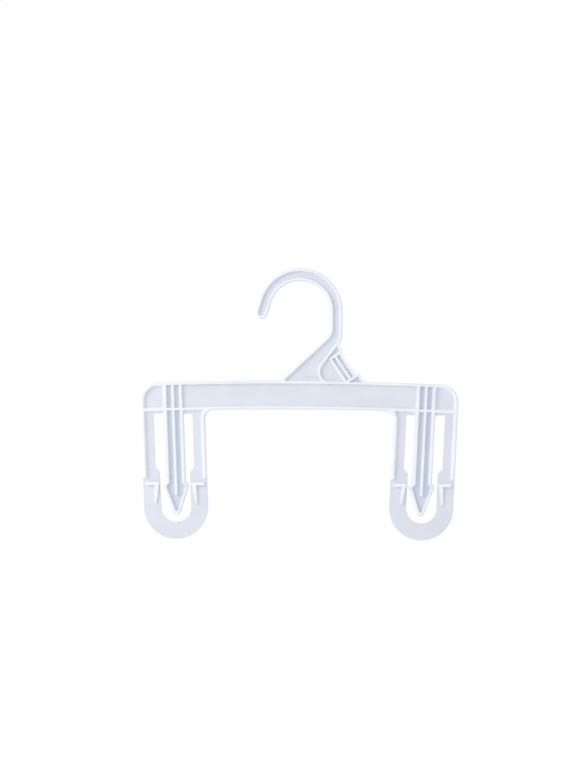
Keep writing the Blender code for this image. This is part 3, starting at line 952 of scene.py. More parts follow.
@dataclass(frozen=True)
class Polypropylene:
    """White polypropylene as moulded: satin, milky where it is deep and cooler where it is thin, with
    painted shade in the recessed webs and channels and painted light on the steep side walls.
    """

    name: str
    # The web and channel colours are darker and bluer than the rims': partly the thin wall's own tone,
    # partly painted shade of the recesses.
    web: Colour
    rim: Colour = (0.885, 0.92, 0.995)
    channel: Colour = (0.670, 0.722, 0.812)
    channel_at: float = 0.18
    web_at: float = 0.29
    rim_at: float = 0.89
    shade: float = 0.955
    roughness: tuple[float, float] = (0.40, 0.50)
    grain_scale: float = 2600.0
    bump: float = 0.05
    bump_height: float = 0.00002
    mottle_scale: float = 55.0
    ior: float = 1.49
    speculars: float = 0.35

    def material(self, groups: dict[str, bpy.types.NodeTree]) -> bpy.types.Material:
        """Builds the finish.

        Args:
            groups: The shared effects by name.

        Returns:
            The material.
        """
        made = bpy.data.materials.new(self.name)
        made.use_nodes = True
        tree = made.node_tree
        shader = tree.nodes["Principled BSDF"]
        shader.inputs["IOR"].default_value = self.ior
        shader.inputs["Specular IOR Level"].default_value = self.speculars

        deep = add_node(tree, "ShaderNodeGroup", node_tree=groups["thickness"])
        mottle = add_node(tree, "ShaderNodeGroup", {"Scale": self.mottle_scale}, node_tree=groups["mottle"])
        grain = add_node(tree, "ShaderNodeGroup", {"Scale": self.grain_scale}, node_tree=groups["grain"])

        # The ramp by depth paints the recessed webs and the tongues' channels darker, as painted shade, and
        # the steep side walls lighter, as painted light.
        tone_and_shade = add_node(tree, "ShaderNodeValToRGB", {"Fac": deep.outputs["Deep"]})
        tone_and_shade.color_ramp.interpolation = "EASE"
        tone_and_shade.color_ramp.elements.new(self.web_at)
        stops = ((self.channel_at, self.channel), (self.web_at, self.web), (self.rim_at, self.rim))
        for stop, (depth, colour) in zip(tone_and_shade.color_ramp.elements, stops):
            stop.position = depth
            stop.color = (*colour, 1.0)
        cloudy = add_node(tree, "ShaderNodeMapRange", {
            "Value": mottle.outputs["Mask"],
            "To Min": self.shade,
            "To Max": 1.0,
        })
        shaded = add_node(tree, "ShaderNodeVectorMath", {
            0: tone_and_shade.outputs["Color"],
            "Scale": cloudy.outputs["Result"],
        }, operation="SCALE")
        tree.links.new(shaded.outputs["Vector"], shader.inputs["Base Color"])

        satin = add_node(tree, "ShaderNodeMapRange", {
            "Value": mottle.outputs["Mask"],
            "To Min": self.roughness[0],
            "To Max": self.roughness[1],
        })
        tree.links.new(satin.outputs["Result"], shader.inputs["Roughness"])

        bump = add_node(tree, "ShaderNodeBump", {
            "Strength": self.bump,
            "Distance": self.bump_height,
            "Height": grain.outputs["Height"],
        })
        tree.links.new(bump.outputs["Normal"], shader.inputs["Normal"])
        return made


# Members

@dataclass
class Member:
    """What every member of the moulding has: the section, the shared places and its finish."""

    section: Section
    layout: Layout
    finish: bpy.types.Material
    smooth_angle: float = math.radians(32.0)

    def dress(self, piece: bpy.types.Object, slot: str, *nodes: str) -> None:
        """Gives a finished piece its finish and hides the CAD nodes that it stands for.

        Args:
            piece: The finished mesh.
            slot: The record's material slot. It is not used.
            *nodes: The CAD nodes that it replaces.
        """
        pick(piece)
        piece.data.materials.clear()
        piece.data.materials.append(self.finish)
        bpy.ops.object.shade_smooth_by_angle(angle=self.smooth_angle)
        apply_modifier(piece, "WEIGHTED_NORMAL", keep_sharp=True)
        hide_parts(*nodes)

    def copy(self, piece: bpy.types.Object, name: str) -> bpy.types.Object:
        """A copy of a piece with its own mesh.

        Args:
            piece: The piece.
            name: The copy's name.

        Returns:
            The copy.
        """
        pick(piece)
        bpy.ops.object.duplicate()
        double = bpy.context.active_object
        double.name = name
        double.data.name = name
        return double

    def mirrored(self, piece: bpy.types.Object, name: str) -> bpy.types.Object:
        """A copy of a piece on the other side of the hanger.

        Args:
            piece: The piece.
            name: The copy's name.

        Returns:
            The copy, with its faces pointing outwards.
        """
        double = self.copy(piece, name)
        edit(double)
        bpy.ops.transform.mirror(constraint_axis=(True, False, False), center_override=(0.0, 0.0, 0.0))
        bpy.ops.mesh.normals_make_consistent(inside=False)
        done()
        return double


@dataclass
class HookAndNeck(Member):
    """The round hook with its straight tip, and the bent neck below its stem."""

    tip_lean: float = math.radians(17.0)
    tip_length: float = 0.0103
    inner_round: float = 0.0100
    outer_round: float = 0.0140
    tail: float = 0.0150
    recess_round: float = 0.0012
    blunt: float = 0.0014

    def outline(self, low: float) -> Path:
        """The hook, stem and neck as one outline, with the neck's foot run on down.

        Args:
            low: The height of the foot's lower end.

        Returns:
            The outline.
        """
        place = self.layout
        centre, inner = place.hook_centre, place.hook_radius
        outer = place.stem_outer_x
        tip_angle = math.pi - self.tip_lean
        middle = inner + place.hook_band / 2
        tip_x = middle * math.cos(tip_angle) - self.tip_length * math.sin(self.tip_lean)
        tip_z = centre + middle * math.sin(tip_angle) - self.tip_length * math.cos(self.tip_lean)
        foot_x = place.neck_inner_x(place.bar_top_z)
        heel_x = place.neck_outer_x(place.bar_top_z)
        foot_end = foot_x - 2 * place.foot_round
        heel_end = heel_x + place.heel_run
        return [
            Corner(foot_end, low),
            Corner(foot_end, place.bar_top_z),
            Corner(foot_x, place.bar_top_z, place.foot_round),
            Corner(inner, centre - place.inner_bend, self.inner_round),
            Sweep(0.0, centre, inner, 0.0, tip_angle),
            Sweep(tip_x, tip_z, place.hook_band / 2, tip_angle - math.pi, tip_angle - 2 * math.pi),
            Sweep(0.0, centre, outer, tip_angle, 0.0),
            Corner(outer, centre - place.outer_bend, self.outer_round),
            Corner(heel_x, place.bar_top_z, place.heel_round),
            Corner(heel_end, place.bar_top_z),
            Corner(heel_end, low),
        ]

    def build(self) -> list[bpy.types.Object]:
        """Models the hook and the neck as one moulding and parts them at the stem.

        Returns:
            The hook's and the neck's pieces.
        """
        place = self.layout
        hook = draw("hook_moulding", self.outline(place.bar_top_z - self.tail))
        self.section.plate()
        self.section.raise_up()
        self.section.sink()
        done()
        self.section.turn_out(hook)
        self.section.finish_half(hook)
        neck = self.copy(hook, "neck_moulding")
        self.section.cut(hook, place.hook_cut, above=True)
        self.section.cut(neck, place.hook_cut, above=False)
        self.section.cut(neck, place.foot_cut, above=True)
        for piece, node in ((hook, "hook"), (neck, "neck")):
            self.dress(piece, "frame_plastic", node)
            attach(piece, "hanger_frame")
        return [hook, neck]

    def foot_recess(self) -> bpy.types.Object:
        """The cutter that carries the neck's recess down to the crossbar's top flange.

        Returns:
            The cutter.
        """
        place, section = self.layout, self.section
        low = place.bar_top_z - section.inner_draft
        high = place.foot_cut + place.foot_round
        rim = place.heel_arc(place.heel_round + section.edge)
        tip = math.pi - math.asin((low + self.blunt - rim.z) / rim.radius)
        top = math.pi - math.asin((high - rim.z) / rim.radius)
        inside = section.edge / math.cos(place.inner_lean)
        return section.pocket("foot_recess", [
            Corner(place.neck_inner_x(high) + inside, high),
            Corner(place.neck_inner_x(low) + inside, low, self.recess_round),
            Corner(rim.at(tip)[0], low),
            Sweep(rim.x, rim.z, rim.radius, tip, top),
        ])


@dataclass
class Crossbar(Member):
    """The arched bar between its flanges, with the neck's foot and the roots of the clips."""

    skirt: float = 0.0070
    flange: float = 0.0021
    blunt: float = 0.0026
    corner_stretch: float = 1.5

    def outline(self) -> Path:
        """The bar with the neck's foot, and the clips' roots run on down past their cut.

        Returns:
            The outline.
        """
        place = self.layout
        below = place.root - self.skirt
        corner = place.on_bar(place.bar_top, place.half_loop)
        fillet = place.on_bar(place.bar_bottom, -place.half_loop)
        top_stop = corner[0] - self.corner_stretch * place.corner_round
        bottom_stop = fillet[0] - 2 * place.leg_fillet
        foot_x = place.neck_inner_x(place.bar_top_z)
        heel_x = place.neck_outer_x(place.bar_top_z)
        over = place.foot_cut + place.foot_round + place.heel_round
        return [
            Corner(place.clip_x(below, -place.half_loop), below),
            Corner(place.clip_x(below, place.half_loop), below),
            Corner(*corner, place.corner_round),
            *place.along_bar(place.bar_top, top_stop, heel_x + place.heel_run),
            Corner(heel_x, place.bar_top_z, place.heel_round),
            Corner(place.neck_outer_x(over), over),
            Corner(place.neck_inner_x(over), over),
            Corner(foot_x, place.bar_top_z, place.foot_round),
            *place.along_bar(place.bar_top, foot_x - place.foot_round, -top_stop),
            Corner(-corner[0], corner[1], place.corner_round),
            Corner(-place.clip_x(below, place.half_loop), below),
            Corner(-place.clip_x(below, -place.half_loop), below),
            Corner(-fillet[0], fillet[1], place.leg_fillet),
            *place.along_bar(place.bar_bottom, -bottom_stop, bottom_stop),
            Corner(*fillet, place.leg_fillet),
        ]

    def column(self, left: float, right: float, corner_round: float = 0.0) -> list[Path]:
        """Two recesses in the right clip's root between two of its lines.

        Args:
            left: Offset of the line on the left from the clip's centre line.
            right: Offset of the line on the right.
            corner_round: Radius of the upper recess's top right corner.

        Returns:
            The recess between the flanges and the one below the bottom flange.
        """
        place, section = self.layout, self.section
        low = place.root - self.skirt - section.foot
        upper = [
            Corner(*place.on_bar(place.bar_bottom, left, self.flange)),
            Corner(*place.on_bar(place.bar_bottom, right, self.flange)),
            Corner(*place.on_bar(place.bar_top, right, -self.flange), corner_round),
            Corner(*place.on_bar(place.bar_top, left, -self.flange)),
        ]
        lower = [
            Corner(place.clip_x(low, left), low),
            Corner(place.clip_x(low, right), low),
            Corner(*place.on_bar(place.bar_bottom, right, section.inner_draft)),
            Corner(*place.on_bar(place.bar_bottom, left, section.inner_draft)),
        ]
        return [upper, lower]

    def root_recesses(self) -> list[tuple[Section, Path]]:
        """The recesses in the right clip's root.

        Returns:
            Each recess with the section that it is sunk to.
        """
        place, section = self.layout, self.section
        soft = replace(section, inner_draft=section.leg_draft)
        ribs = place.rib_tops(section.ribbed)
        channels = self.column(ribs[0][1], ribs[1][0]) + self.column(ribs[1][1], ribs[2][0])
        outside = self.column(
            ribs[2][1], place.half_loop - section.edge, place.corner_round - section.edge
        )
        return [
            *((section.ribbed, path) for path in channels),
            *((soft, path) for path in [*outside, self.inner_root()]),
        ]

    def inner_root(self) -> Path:
        """The recess below the bottom flange, from the inner leg's curved rim to the tongue's first rib.

        Returns:
            Its outline at the rims' tops.
        """
        place, section = self.layout, self.section
        low = place.root - self.skirt - section.foot
        rib = place.rib_tops(section.ribbed)[0][0]
        rim = place.leg_fillet_arc(place.leg_fillet + section.edge)
        start = rim.end
        for _ in range(place.passes):
            level = place.bar_bottom(rim.at(start)[0]) + section.inner_draft - self.blunt
            start = math.asin((level - rim.z) / rim.radius)
        tip = rim.at(start)[0]
        return [
            Corner(place.clip_x(low, section.edge - place.half_loop), low),
            Corner(place.clip_x(low, rib), low),
            Corner(*place.on_bar(place.bar_bottom, rib, section.inner_draft)),
            Corner(tip, place.bar_bottom(tip) + section.inner_draft),
            Sweep(rim.x, rim.z, rim.radius, start, rim.start),
        ]

    def panel(self) -> Path:
        """The long recess between the two clips.

        Returns:
            Its outline at the rims' tops.
        """
        place, section = self.layout, self.section
        rib = place.rib_tops(section.ribbed)[0][0]
        bottom = place.on_bar(place.bar_bottom, rib, self.flange)[0]
        top = place.on_bar(place.bar_top, rib, -self.flange)[0]
        return [
            *place.along_bar(place.bar_bottom, -bottom, bottom, self.flange),
            *place.along_bar(place.bar_top, top, -top, -self.flange),
        ]

    def build(self, foot_recess: bpy.types.Object) -> bpy.types.Object:
        """Models the crossbar.

        Args:
            foot_recess: The cutter that carries the neck's recess into the foot.

        Returns:
            The finished piece.
        """
        place, section = self.layout, self.section
        bar = section.block("crossbar_moulding", self.outline())
        cutters = [section.pocket("panel_recess", self.panel()), foot_recess]
        for index, (depth, path) in enumerate(self.root_recesses()):
            cutter = depth.pocket(f"root_recess_{index}", path)
            cutters += [cutter, self.mirrored(cutter, f"left_root_recess_{index}")]
        cutters.append(section.level_cutter("root_cut", place.root, above=False))
        cutters.append(section.level_cutter("foot_cut", place.foot_cut, above=True))
        section.combine(bar, Change.CUT, cutters)
        section.open_at(bar, (place.root, place.foot_cut))
        section.finish_half(bar)
        section.close(bar)
        self.dress(bar, "frame_plastic", "crossbar")
        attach(bar, "hanger_frame")
        return bar


@dataclass
class MarkerPost(Member):
    """The three-rib post for a size marker, and its gusset, between the neck and the crossbar."""

    lean: float = math.radians(34.0)
    pitch: float = 0.00425
    rib_width: float = 0.0019
    rib_top: float = 0.0016
    neck_gap: float = 0.0013
    length: float = 0.0225
    top_setback: float = 0.0036
    shoulder: float = 0.0020
    heel_shoulder: float = 0.0030
    edge_round: float = 0.0013
    draft: float = 0.0005
    rooting: float = 0.0022
    low_by: float = 0.00005
    clearance: float = 0.0002

    @property
    def width(self) -> float:
        """How far the right rib's outer edge lies from the middle of the left rib."""
        return 2 * self.pitch + self.rib_width / 2

    def point(self, along: float, across: float) -> Point:
        """A point of the post, measured from the top of its left rib.

        Args:
            along: How far down along the ribs it lies.
            across: How far to the right of the left rib it lies.

        Returns:
            The point.
        """
        place = self.layout
        start_z = place.hook_centre - place.outer_bend - self.top_setback / math.cos(place.outer_lean)
        origin_z = start_z - 2 * self.pitch / math.cos(self.lean)
        origin_x = place.neck_outer_x(origin_z, self.neck_gap)
        return (
            origin_x + along * math.sin(self.lean) + across * math.cos(self.lean),
            origin_z - along * math.cos(self.lean) + across * math.sin(self.lean),
        )

    def down_to(self, across: float, z: float) -> Point:
        """The point of the post straight down a line until a height."""
        x, start_z = self.point(0.0, across)
        return x + (start_z - z) * math.tan(self.lean), z

    def up_to_neck(self, across: float) -> Point:
        """The point straight up a line of the post where it is rooted in the neck.

        Args:
            across: How far to the right of the left rib the line runs.

        Returns:
            The point.
        """
        x, z = self.point(0.0, across)
        gap = self.layout.neck_outer_x(z, -self.rooting) - x
        rise = gap / (-math.tan(self.lean) - math.tan(self.layout.outer_lean))
        return x - rise * math.tan(self.lean), z + rise

    def outline(self) -> Path:
        """The post and its gusset, rooted in the neck's rim and in the bar's top flange.

        Returns:
            The outline.
        """
        place = self.layout
        half, width = self.rib_width / 2, self.width
        side, heel_side = width + self.shoulder, width + self.heel_shoulder
        low = place.bar_top_z - self.rooting
        return [
            Corner(*self.up_to_neck(side)),
            Corner(*self.point(half, side), self.edge_round),
            Corner(*self.point(half, width)),
            Corner(*self.point(self.length - half, width)),
            Corner(*self.point(self.length - half, heel_side), self.edge_round),
            Corner(*self.down_to(heel_side, low)),
            Corner(place.neck_outer_x(low, -self.rooting), low, place.heel_round + self.rooting),
        ]

    def box(self, along: Point, across: Point) -> Path:
        """A rectangle in the post's own leaning directions."""
        spots = ((along[0], across[0]), (along[1], across[0]), (along[1], across[1]), (along[0], across[1]))
        return [Corner(*self.point(*spot)) for spot in spots]

    def recesses(self) -> list[Path]:
        """The recesses beside and between the ribs, drawn past the post's own edges where they are open.

        Returns:
            The gusset with the corner above the upper cross rib, the two channels and the heel, each at
            the ribs' tops.
        """
        half = self.rib_top / 2
        end = self.length
        past = 2 * end
        inside = (half, end - half)
        top_side = self.width + self.shoulder - self.rib_width
        heel_side = self.width + self.heel_shoulder - self.rib_width
        beside = ((-end, -past), (past, -past), (past, -half))
        above = ((-half, -half), (-half, top_side), (-end, top_side))
        return [
            [Corner(*self.point(*spot)) for spot in (*beside, *above)],
            self.box(inside, (half, self.pitch - half)),
            self.box(inside, (self.pitch + half, 2 * self.pitch - half)),
            self.box((end + half, past), (self.clearance, heel_side)),
        ]

    def build(self) -> bpy.types.Object:
        """Models the post.

        Returns:
            The finished piece.
        """
        section = replace(self.section, half_depth=self.section.half_depth - self.low_by)
        post = section.block("size_marker_post_moulding", self.outline(), self.draft)
        cutters = [
            section.pocket(f"post_recess_{index}", path, self.draft)
            for index, path in enumerate(self.recesses())
        ]
        section.combine(post, Change.CUT, cutters)
        section.finish_half(post)
        self.dress(post, "frame_plastic", "size_marker_post")
        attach(post, "hanger_frame")
        return post


@dataclass
class Clip(Member):
    """A clip: a loop of two legs and a round jaw, and a ribbed tongue between the legs."""

    jaw_width: float = 0.0135
    step_height: float = 0.0272
    step_rise: float = 0.0038
    step_round: float = 0.0025
    rim_height: float = 0.0219
    shelf_height: float = 0.0182
    shelf_thickness: float = 0.0027
    shelf_setback: float = 0.0008
    shelf_round: float = 0.0008
    rib_draft: float = 0.0002
    fin_length: float = 0.0159
    fin_low: float = 0.0011
    fin_high: float = 0.0022
    fin_top: float = 0.0034
    fin_foot: float = 0.0022
    fin_offset: float = 0.0028
    fin_splay: float = 0.0016
    fin_foot_share: float = 0.85
    fine_round: float = 0.00015
    plate_round: float = 0.0005
    plate_segments: int = 4
    run_on: float = 0.0080
    shoulder_clearance: float = 0.0015
    shoulder_round: float = 0.0018
    recess_round: float = 0.0015
    limb_edge: float = 0.0021
    tip_clearance: float = 0.0055
    tip_round: float = 0.0033
    arrow_half_angle: float = math.radians(18.8)
    rib_stop: float = 0.0104
    bend_length: float = 0.0110
    bend_steps: int = 8

    @property
    def low_section(self) -> Section:
        """The section with finer edges, for low ribs."""
        return replace(self.section, edge_round=self.fine_round)

    @property
    def half_jaw(self) -> float:
        """Half the width inside the jaw."""
        return self.layout.half_loop - self.jaw_width

    @property
    def rim_end(self) -> float:
        """Height of the lower ends of the legs' rims."""
        return self.layout.jaw_z + self.rim_height

    def jaw_arc(self, half_width: float, leftwards: bool) -> Sweep:
        """The half circle round the right clip's jaw, which runs on into a line on each side.

        Args:
            half_width: The lines' offset from the clip's centre line.
            leftwards: Whether the arc runs from the right line to the left one.

        Returns:
            The arc.
        """
        place = self.layout
        lean = math.atan(place.lean)
        right, left = -lean, -math.pi - lean
        start, end = (right, left) if leftwards else (left, right)
        return Sweep(place.clip_spacing / 2, place.jaw_z, half_width * math.cos(lean), start, end)

    def loop_outline(self) -> Path:
        """The outside of the right clip's loop, with its legs run on up past their roots.

        Returns:
            The outline.
        """
        place = self.layout
        top = place.root + self.run_on
        fillet = place.on_bar(place.bar_bottom, -place.half_loop)
        tail = fillet[0] - place.fillet_run
        return [
            Corner(place.clip_x(top, place.half_loop), top),
            self.jaw_arc(place.half_loop, leftwards=True),
            Corner(*fillet, place.leg_fillet),
            Corner(tail, place.bar_bottom(tail)),
            Corner(tail, top),
        ]

    def slot_outline(self) -> Path:
        """The slot between the right clip's legs, with the steps where the legs widen into the jaw.

        Returns:
            The outline.
        """
        place = self.layout
        top = place.root + 2 * self.run_on
        step = place.jaw_z + self.step_height
        step_top = step + self.step_rise
        return [
            Corner(place.clip_x(top, -place.half_slots), top),
            Corner(place.clip_x(step_top, -place.half_slots), step_top, self.step_round),
            Corner(place.clip_x(step, -self.half_jaw), step, self.step_round),
            self.jaw_arc(self.half_jaw, leftwards=False),
            Corner(place.clip_x(step, self.half_jaw), step, self.step_round),
            Corner(place.clip_x(step_top, place.half_slots), step_top, self.step_round),
            Corner(place.clip_x(top, place.half_slots), top),
        ]

    def field(self) -> Path:
        """What lies low on the right clip's loop: the insides of its legs and the whole jaw.

        Returns:
            Its outline at the rims' tops.
        """
        place, section = self.layout, self.section
        top, end = place.root + 2 * self.run_on, self.rim_end + section.leg_draft
        near, far = place.half_loop - section.edge, place.half_loop + 2 * section.foot
        low = place.jaw_z - far
        inner = place.on_bar(place.bar_bottom, -near, section.edge)
        tail = inner[0] - place.fillet_run - place.leg_fillet
        return [
            Corner(place.clip_x(top, near), top),
            Corner(place.clip_x(end, near), end),
            Corner(place.clip_x(end, far), end),
            Corner(place.clip_x(low, far), low),
            Corner(place.clip_x(low, -far), low),
            Corner(place.clip_x(end, -far), end),
            Corner(place.clip_x(end, -near), end),
            Corner(*inner, place.leg_fillet + section.edge),
            Corner(tail, place.bar_bottom(tail) + section.edge),
            Corner(tail, top),
        ]

    def reach(self, point: Vector) -> float:
        """How far a point lies from the right clip's centre line, or from its jaw's centre if it is lower.

        Args:
            point: The point.

        Returns:
            The distance across the front.
        """
        place = self.layout
        side = point.x - place.clip_x(max(point.z, place.jaw_z))
        return math.hypot(side, max(0.0, place.jaw_z - point.z))

    def is_slot_edge(self, edge: bmesh.types.BMEdge) -> bool:
        """Whether an edge runs round the slot on the front of the loop's plate.

        Args:
            edge: The edge.

        Returns:
            True for such an edge.
        """
        place = self.layout
        ends = [v.co for v in edge.verts]
        if any(abs(end.y + self.section.half_web) > self.section.weld for end in ends):
            return False
        if not any(abs(face.normal.y) < UPRIGHT for face in edge.link_faces):
            return False
        return self.reach((ends[0] + ends[1]) / 2) < place.half_slots + self.section.draft

    def build_loop(self) -> bpy.types.Object:
        """Models the right clip's loop.

        Returns:
            The loop in object mode, not yet cut at its root.
        """
        section = self.section
        loop = section.block("loop_moulding", self.loop_outline())
        field = section.pocket("loop_field", self.field(), section.leg_draft)
        # The slot's cutter reaches from behind the front half to well before it.
        slot = draw("loop_slot", self.slot_outline())
        shift(section.half_depth)
        extrude(-3 * section.half_depth)
        done()
        section.turn_out(slot)
        section.combine(loop, Change.CUT, [field, slot])
        edit(loop)
        choose(loop, Kind.EDGE, self.is_slot_edge)
        bpy.ops.mesh.bevel(
            offset=self.plate_round, segments=self.plate_segments, affect="EDGES", clamp_overlap=False
        )
        done()
        section.combine(loop, Change.ADD, self.shelves())
        section.finish_half(loop)
        fins = self.fins()
        for fin in fins:
            self.low_section.finish_half(fin)
        pick(loop, *fins)
        bpy.ops.object.join()
        # A line just past the rims' ends keeps the shading of their small edges off the plate's long sides.
        section.score(loop, [self.rim_end - section.leg_draft - 2 * section.edge_round])
        return loop

    def shelves(self) -> list[bpy.types.Object]:
        """The right loop's two shelf ribs, level with the arrowhead's shoulders.

        Returns:
            The two ribs as closed solids.
        """
        place, section = self.layout, self.section
        low = place.jaw_z + self.shelf_height - self.shelf_thickness / 2
        high = low + self.shelf_thickness
        near, far = self.half_jaw + self.shelf_setback, place.half_loop - section.edge
        made = []
        for sign in (-1, 1):
            piece = draw(f"shelf_{sign}", [
                Corner(place.clip_x(low, sign * (near + far) / 2), low),
                Corner(place.clip_x(low, sign * far), low, self.shelf_round),
                Corner(place.clip_x(high, sign * far), high, self.shelf_round),
                Corner(place.clip_x(high, sign * near), high, self.shelf_round),
                Corner(place.clip_x(low, sign * near), low, self.shelf_round),
            ])
            section.stud()
            bpy.ops.mesh.inset(thickness=self.rib_draft, depth=section.recess)
            done()
            section.turn_out(piece)
            made.append(piece)
        return made

    def fins(self) -> list[bpy.types.Object]:
        """The wedges below the shelves, deep at their tops and low at their feet.

        Returns:
            The two wedges as closed front halves.
        """
        place, section = self.layout, self.section
        top = place.jaw_z + self.shelf_height
        foot = top - self.fin_length
        half_top, half_foot = self.fin_top / 2, self.fin_foot / 2
        foot_round = self.fin_foot_share * half_foot
        offset = self.half_jaw + self.fin_offset
        made = []
        for sign in (-1, 1):
            top_x = place.clip_x(top, sign * offset)
            foot_x = place.clip_x(foot, sign * (offset + self.fin_splay))
            piece = draw(f"fin_{sign}", [
                Corner(top_x - half_top, top),
                Corner(foot_x - half_foot, foot, foot_round),
                Corner(foot_x + half_foot, foot, foot_round),
                Corner(top_x + half_top, top),
            ])
            section.stud(self.fin_low)
            choose(piece, Kind.VERTEX, lambda v: v.co.z > foot + half_foot and v.co.y < -section.half_web)
            shift(self.fin_low - self.fin_high)
            choose(piece, Kind.FACE, lambda f: f.normal.y < -FACING)
            bpy.ops.mesh.inset(thickness=self.rib_draft, depth=0.0)
            done()
            section.turn_out(piece)
            made.append(piece)
        return made

    def tongue_x(self, z: float, offset: float = 0.0) -> float:
        """X of the right tongue's centre line at a height, or of a line beside it."""
        return self.layout.clip_x(z, offset - self.layout.tongue_shift)

    def tongue_outline(self) -> Path:
        """The right clip's tongue, a straight shank and an arrowhead, run on up past its root."""
        top = self.layout.root + self.run_on
        return self.tongue_path(0.0, 0.0, top, self.shoulder_round, self.tip_round)

    def tongue_path(
        self, margin: float, limb: float, top: float, shoulder_round: float, tip_round: float
    ) -> Path:
        """The tongue's outline, or a line inside it.

        Args:
            margin: How far inside the outline the path runs along the shank.
            limb: How far inside the outline it runs round the arrowhead.
            top: Height of its level upper end.
            shoulder_round: Radius at the arrowhead's shoulders.
            tip_round: Radius at its tip.

        Returns:
            The path, from the left end of its top round to the right one.
        """
        place, angle = self.layout, self.arrow_half_angle
        slope = math.tan(angle)
        tip_z = place.jaw_z - self.half_jaw + self.tip_clearance
        sharp_z = tip_z - self.tip_round / math.sin(angle) + self.tip_round
        half_arrow = self.half_jaw - self.shoulder_clearance
        half_inside = half_arrow - limb / math.cos(angle)
        drop = limb * (math.sqrt(2) - 1 / math.cos(angle)) / (1 + slope)
        wide = half_inside - drop * slope
        half_shank = place.half_tongue - margin
        shoulder = sharp_z + half_arrow / slope - drop
        apex = sharp_z + (half_arrow - half_inside) / slope
        step = shoulder + wide - half_shank
        return [
            Corner(self.tongue_x(top, -half_shank), top),
            Corner(self.tongue_x(step, -half_shank), step),
            Corner(self.tongue_x(shoulder, -wide), shoulder, shoulder_round),
            Corner(self.tongue_x(apex), apex, tip_round),
            Corner(self.tongue_x(shoulder, wide), shoulder, shoulder_round),
            Corner(self.tongue_x(step, half_shank), step),
            Corner(self.tongue_x(top, half_shank), top),
        ]

    def tongue_recess(self) -> Path:
        """The right tongue's two channels, which join in the arrowhead below the middle rib.

        Returns:
            Their outline at the ribs' tops.
        """
        place, section = self.layout, self.section.ribbed
        top = place.root + self.run_on / 2
        stop = place.jaw_z + self.rib_stop
        half_rib = place.middle_rib_top / 2
        return [
            *self.tongue_path(section.edge, self.limb_edge, top, self.recess_round, self.recess_round),
            Corner(self.tongue_x(top, half_rib), top),
            Sweep(self.tongue_x(stop), stop, half_rib, 0.0, -math.pi),
            Corner(self.tongue_x(top, -half_rib), top),
        ]

    def build_tongue(self) -> bpy.types.Object:
        """Models the right clip's tongue.

        Returns:
            The tongue in object mode, not yet cut at its root.
        """
        section = self.section.ribbed
        tongue = section.block("tongue_moulding", self.tongue_outline())
        section.combine(tongue, Change.CUT, [section.pocket("tongue_recess", self.tongue_recess())])
        section.finish_half(tongue)
        return tongue

    def build(self) -> list[bpy.types.Object]:
        """Models the right clip, copies it to the left and scores both with lines below their roots.

        Returns:
            The loops' and the tongues' pieces.
        """
        place, section = self.layout, self.section
        steps = [self.bend_length * (i + 1) / self.bend_steps for i in range(self.bend_steps)]
        made = []
        for piece, member in ((self.build_loop(), "loop"), (self.build_tongue(), "tongue")):
            section.cut(piece, place.root, above=False)
            section.score(piece, [place.root - step for step in steps])
            name = f"{member}_moulding"
            piece.name = piece.data.name = f"{Side.RIGHT.word}_{name}"
            pair = {Side.RIGHT: piece, Side.LEFT: self.mirrored(piece, f"{Side.LEFT.word}_{name}")}
            for side, double in pair.items():
                body = f"{side.word}_{member}"
                pivot = side.value * place.clip_x(place.root)
                self.dress(double, "clip_plastic", body)
                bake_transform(double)
                made.append(double)
        return made


# Room, light and camera

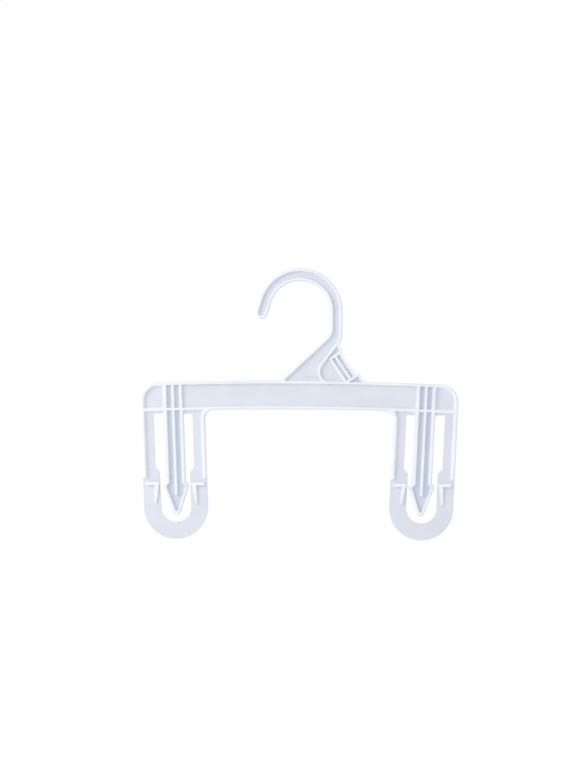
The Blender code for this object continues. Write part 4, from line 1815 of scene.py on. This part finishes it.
@dataclass
class Studio:
    """A white studio: a pale floor below, a large soft lamp at the upper left and a camera in front."""

    distance: float = 1.5
    frame_height: float = 0.6038
    sensor: float = 36.0
    clip_start: float = 0.01
    clip_end: float = 50.0
    aim: tuple[float, float, float] = (-0.00906, 0.0, -0.08104)
    roll: float = math.radians(0.4)
    floor_z: float = -0.45
    floor_size: float = 6.0
    ambient: float = 0.83
    key_power: float = 7.5
    key_size: float = 0.9
    key_place: tuple[float, float, float] = (-1.15, -0.95, 0.42)
    background: float = 0.93
    floor_white: Colour = (0.92, 0.92, 0.92)
    floor_roughness: float = 0.9
    floor_share: float = 0.15

    def camera(self) -> None:
        """A long lens square on to the hanger's front, rolled as the photograph is."""
        data = bpy.data.cameras.new("camera")
        data.sensor_fit = "VERTICAL"
        data.sensor_height = self.sensor
        data.sensor_width = self.sensor
        data.lens = self.sensor * self.distance / self.frame_height
        data.clip_start = self.clip_start
        data.clip_end = self.clip_end
        camera = bpy.data.objects.new("camera", data)
        bpy.context.scene.collection.objects.link(camera)
        camera.location = Vector(self.aim) + Vector((0.0, -self.distance, 0.0))
        camera.rotation_euler = (math.pi / 2, -self.roll, 0.0)
        bpy.context.scene.camera = camera

    def lamp(self) -> None:
        """The soft key lamp."""
        data = bpy.data.lights.new("key_lamp", "AREA")
        data.shape = "DISK"
        data.size = self.key_size
        data.energy = self.key_power
        lamp = bpy.data.objects.new("key_lamp", data)
        bpy.context.scene.collection.objects.link(lamp)
        lamp.location = self.key_place
        towards = Vector(self.aim) - lamp.location
        lamp.rotation_euler = towards.to_track_quat("-Z", "Y").to_euler()

    @staticmethod
    def seen_directly(tree: bpy.types.NodeTree) -> bpy.types.NodeSocket:
        """A mask of what the camera sees, directly or by a reflection.

        Args:
            tree: The nodes that it is added to.

        Returns:
            An output that is 1 there, and 0 for light that falls on the object.
        """
        path = add_node(tree, "ShaderNodeLightPath").outputs
        seen = reckon(tree, "MAXIMUM", path["Is Camera Ray"], path["Is Glossy Ray"])
        return reckon(tree, "MAXIMUM", seen, path["Is Transmission Ray"])

    def world(self) -> None:
        """White to the camera, and a plain soft light on the object."""
        world = bpy.data.worlds.new("white_studio")
        bpy.context.scene.world = world
        world.use_nodes = True
        tree = world.node_tree
        shade = tree.nodes["Background"]
        shade.inputs["Color"].default_value = (1.0, 1.0, 1.0, 1.0)
        level = add_node(tree, "ShaderNodeMix", {
            "Factor": self.seen_directly(tree),
            "A": self.ambient,
            "B": 1.0,
        })
        tree.links.new(level.outputs["Result"], shade.inputs["Strength"])

    def floor(self) -> None:
        """The pale floor, which looks white to the camera and keeps a hint of the hanger's shadow."""
        bpy.ops.object.select_all(action="DESELECT")
        bpy.ops.mesh.primitive_plane_add(size=self.floor_size, location=(0.0, 0.0, self.floor_z))
        floor = bpy.context.active_object
        floor.name = "studio_floor"
        material = bpy.data.materials.new("studio_white")
        material.use_nodes = True
        tree = material.node_tree
        shader = tree.nodes["Principled BSDF"]
        shader.inputs["Base Color"].default_value = (*self.floor_white, 1.0)
        shader.inputs["Roughness"].default_value = self.floor_roughness
        paint = shader.outputs[0]
        glow = add_node(tree, "ShaderNodeEmission", {"Strength": self.background}).outputs[0]
        dark = add_node(tree, "ShaderNodeEmission", {"Strength": 0.0}).outputs[0]
        weak = add_node(tree, "ShaderNodeMixShader", {"Fac": self.floor_share, 1: dark, 2: paint})
        seen = add_node(tree, "ShaderNodeAddShader", {0: weak.outputs[0], 1: glow})
        choice = add_node(tree, "ShaderNodeMixShader", {
            "Fac": self.seen_directly(tree),
            1: paint,
            2: seen.outputs[0],
        })
        tree.links.new(choice.outputs[0], tree.nodes["Material Output"].inputs["Surface"])
        floor.data.materials.append(material)

    def build(self) -> None:
        """Sets up the whole studio."""
        bpy.context.scene.view_settings.view_transform = "Standard"
        self.camera()
        self.lamp()
        self.world()
        self.floor()


def main() -> None:
    """Builds the hanger's members in order and the studio round them."""
    logging.basicConfig(level=logging.INFO, format="%(name)s: %(message)s")
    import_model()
    section = Section(half_depth=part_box("crossbar")[1].y)
    layout = Layout(
        half_width=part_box("crossbar")[1].x,
        foot_cut=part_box("crossbar")[1].z,
        hook_cut=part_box("hook")[0].z,
        root=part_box("crossbar")[0].z,
    )
    groups = {
        # The wall-depth group paints shade into the recesses and light onto the steep side walls.
        "thickness": ShaderGroups.thickness(section.half_depth),
        "mottle": ShaderGroups.mottle(),
        "grain": ShaderGroups.grain(),
    }
    frame_finish = Polypropylene("frame_polypropylene", web=(0.742, 0.774, 0.848)).material(groups)
    clip_finish = Polypropylene("clip_polypropylene", web=(0.732, 0.764, 0.846)).material(groups)
    hook_and_neck = HookAndNeck(section.slim, layout, frame_finish)
    pieces = hook_and_neck.build()
    pieces.append(MarkerPost(section, layout, frame_finish).build())
    pieces.append(Crossbar(section, layout, frame_finish).build(hook_and_neck.foot_recess()))
    pieces += Clip(section, layout, clip_finish).build()
    for piece in pieces:
        LOG.info("%s: %d faces", piece.name, len(piece.data.polygons))
    Studio().build()


if __name__ == "__main__":
    main()
